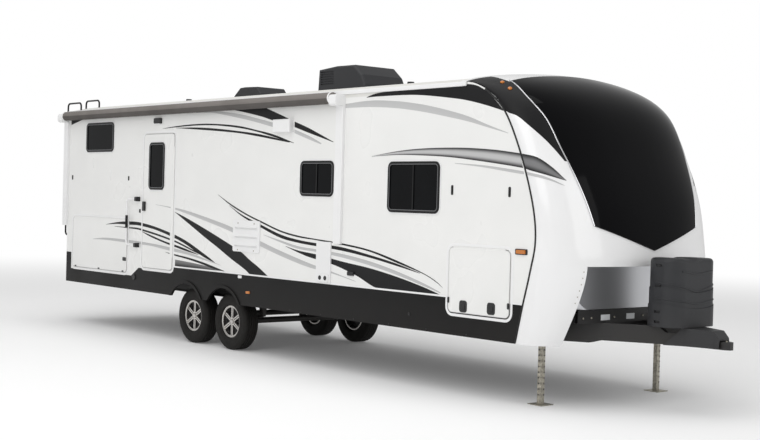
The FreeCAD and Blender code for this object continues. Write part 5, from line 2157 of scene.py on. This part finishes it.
def build_shuts() -> None:
    """Frame the door and the three hatches."""
    ShutTrim("door", DOOR_BOX, Body.DOOR, DOOR_FACE, Side.DOOR).build()
    ShutTrim("kitchen", KITCHEN_BOX, Body.KITCHEN, HATCH_FACE, Side.DOOR).build()
    ShutTrim("store_right", STORE_BOX, Body.STORE_RIGHT, HATCH_FACE, Side.DOOR).build()
    ShutTrim("store_left", STORE_BOX, Body.STORE_LEFT, HATCH_FACE, Side.OFF).build()


AXLES = {"rear": 3.424, "front": 4.313}


def build_wheels() -> None:
    """Dress the four wheels."""
    for place, axle_x in AXLES.items():
        for side in Side:
            Wheel(place, axle_x, side).build()


NODE_FINISHES = {
    GEL_COAT: ["front_cap"],
    LAMINATE: [
        "side_wall_right", "side_wall_left", "rear_wall", "entry_door", "kitchen_hatch",
        "storage_hatch_right", "storage_hatch_left", "slide_room_box", "slide_room_wall",
    ],
    MEMBRANE: ["roof_panel"],
    SKIRT: ["skirt_right", "skirt_left", "rear_skirt"],
    BRUSHED: ["chin_panel"],
    FRAME_STEEL: [
        "chassis_rails", "chassis_crossmembers", "hitch_frame_right", "hitch_frame_left",
        "ball_coupler", "rear_bumper", "axles", "leaf_springs", "spring_hangers",
    ],
    GALVANISED: ["front_legs", "rear_legs"],
    DARK_MOULDING: ["gas_bottle_cover", "hitch_frame_cover", "roof_cooler", "roof_vents"],
    FRAME_BLACK: [
        "window_frames", "entry_door_window_frame", "slide_room_window_frame", "rear_ladder",
    ],
    GLASS: ["window_panes", "entry_door_pane", "slide_room_pane"],
    BLACK_ABS: ["entry_door_latch"],
    WHITE_POWDER: ["grab_handle", "awning_arms", "roof_gutters"],
    WHITE_ABS: ["louvre_panel", "utility_column", "light_box"],
    UNDERBELLY: ["cabin_floor"],
    TYRE: ["tyre_rear_right", "tyre_rear_left", "tyre_front_right", "tyre_front_left"],
    MACHINED: ["rim_rear_right", "rim_rear_left", "rim_front_right", "rim_front_left"],
}


def dress_nodes() -> None:
    """Give each CAD node that stays in view its finish."""
    for finish, names in NODE_FINISHES.items():
        for name in names:
            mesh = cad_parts[name].data
            mesh.materials.clear()
            mesh.materials.append(finish.material())


@dataclass(frozen=True)
class Studio:
    """A white floor that runs to a white backdrop, under broad soft light."""

    floor_radius: float = 150.0
    clear_radius: float = 9.0
    white_radius: float = 26.0
    world_level: float = 0.58
    key_power: float = 450.0
    key_size: float = 9.0

    def build(self) -> None:
        """Build floor, world light and lamps, and set the view transform."""
        scene = bpy.context.scene
        scene.view_settings.view_transform = "Standard"
        self.build_floor()
        self.build_world()
        self.add_lamp("key_lamp", (6.0, -13.0, 9.0), (-1.0, 0.0, 1.5), self.key_power, self.key_size)
        self.add_lamp("top_lamp", (0.0, -4.0, 14.0), (0.0, -2.0, 0.0), self.key_power * 1.5, 14.0)
        self.add_lamp("nose_lamp", (15.0, 2.0, 6.5), (4.0, 0.0, 1.5), self.key_power * 0.35, 6.0)

    def build_floor(self) -> None:
        """Build a round floor whose rim turns plain white."""
        mesh = bpy.data.meshes.new("studio_floor")
        build = bmesh.new()
        bmesh.ops.create_circle(build, cap_ends=True, segments=96, radius=self.floor_radius)
        build.to_mesh(mesh)
        build.free()
        floor = bpy.data.objects.new("studio_floor", mesh)
        floor.location.z = -0.0005
        bpy.context.scene.collection.objects.link(floor)
        made = bpy.data.materials.new("paper_matt_white")
        made.use_nodes = True
        tree = made.node_tree
        tree.nodes.clear()
        place = add_node(tree, "ShaderNodeNewGeometry").outputs["Position"]
        distance = add_node(
            tree, "ShaderNodeVectorMath", links={0: place}, operation="LENGTH"
        ).outputs["Value"]
        share = add_node(
            tree,
            "ShaderNodeMapRange",
            {"From Min": self.clear_radius, "From Max": self.white_radius, "To Min": 0.08},
            {"Value": distance},
            interpolation_type="SMOOTHSTEP",
        ).outputs[0]
        matt = add_node(tree, "ShaderNodeBsdfDiffuse", {"Color": linear_rgb("#ffffff")}).outputs[0]
        white = add_node(tree, "ShaderNodeEmission", {"Color": WHITE, "Strength": 1.0}).outputs[0]
        blend = add_node(tree, "ShaderNodeMixShader", links={0: share, 1: matt, 2: white}).outputs[0]
        add_node(tree, "ShaderNodeOutputMaterial", links={"Surface": blend})
        mesh.materials.append(made)

    def build_world(self) -> None:
        """Light evenly from all round, with a plain white for the camera, straight or through glass."""
        world = bpy.data.worlds.new("studio_world")
        world.use_nodes = True
        bpy.context.scene.world = world
        tree = world.node_tree
        tree.nodes.clear()
        path = add_node(tree, "ShaderNodeLightPath")
        seen = add_node(
            tree,
            "ShaderNodeMath",
            links={0: path.outputs["Is Camera Ray"], 1: path.outputs["Is Transmission Ray"]},
            operation="MAXIMUM",
        ).outputs[0]
        light = add_node(
            tree, "ShaderNodeBackground", {"Color": WHITE, "Strength": self.world_level}
        ).outputs[0]
        white = add_node(tree, "ShaderNodeBackground", {"Color": WHITE, "Strength": 1.0}).outputs[0]
        blend = add_node(tree, "ShaderNodeMixShader", links={0: seen, 1: light, 2: white}).outputs[0]
        add_node(tree, "ShaderNodeOutputWorld", links={"Surface": blend})

    def add_lamp(self, name: str, place: tuple, target: tuple, power: float, size: float) -> None:
        """Add one square soft lamp that faces a target.

        Args:
            name: The lamp's name.
            place: Where it stands.
            target: The point that it faces.
            power: Its power in watts.
            size: The length of the square's side.
        """
        data = bpy.data.lights.new(name, "AREA")
        data.energy = power
        data.size = size
        lamp = bpy.data.objects.new(name, data)
        lamp.location = place
        lamp.rotation_euler = (Vector(target) - Vector(place)).to_track_quat("-Z", "Y").to_euler()
        bpy.context.scene.collection.objects.link(lamp)


def main() -> None:
    """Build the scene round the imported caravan."""
    logging.basicConfig(level=logging.INFO, format="%(message)s")
    PHOTO.build()
    Studio().build()
    dress_nodes()
    LOG.info("nodes dressed")
    LOG.info("%d stripes laid", Graphics().build())
    CapTrim().build()
    build_windows()
    build_shuts()
    build_wheels()
    for group in (SideHardware(), BeltTrim(), AwningTrim(), HandleTrim(), NoseGear(), RearGear()):
        group.build()
        LOG.info("%s built", type(group).__name__)


if __name__ == "__main__":
    main()
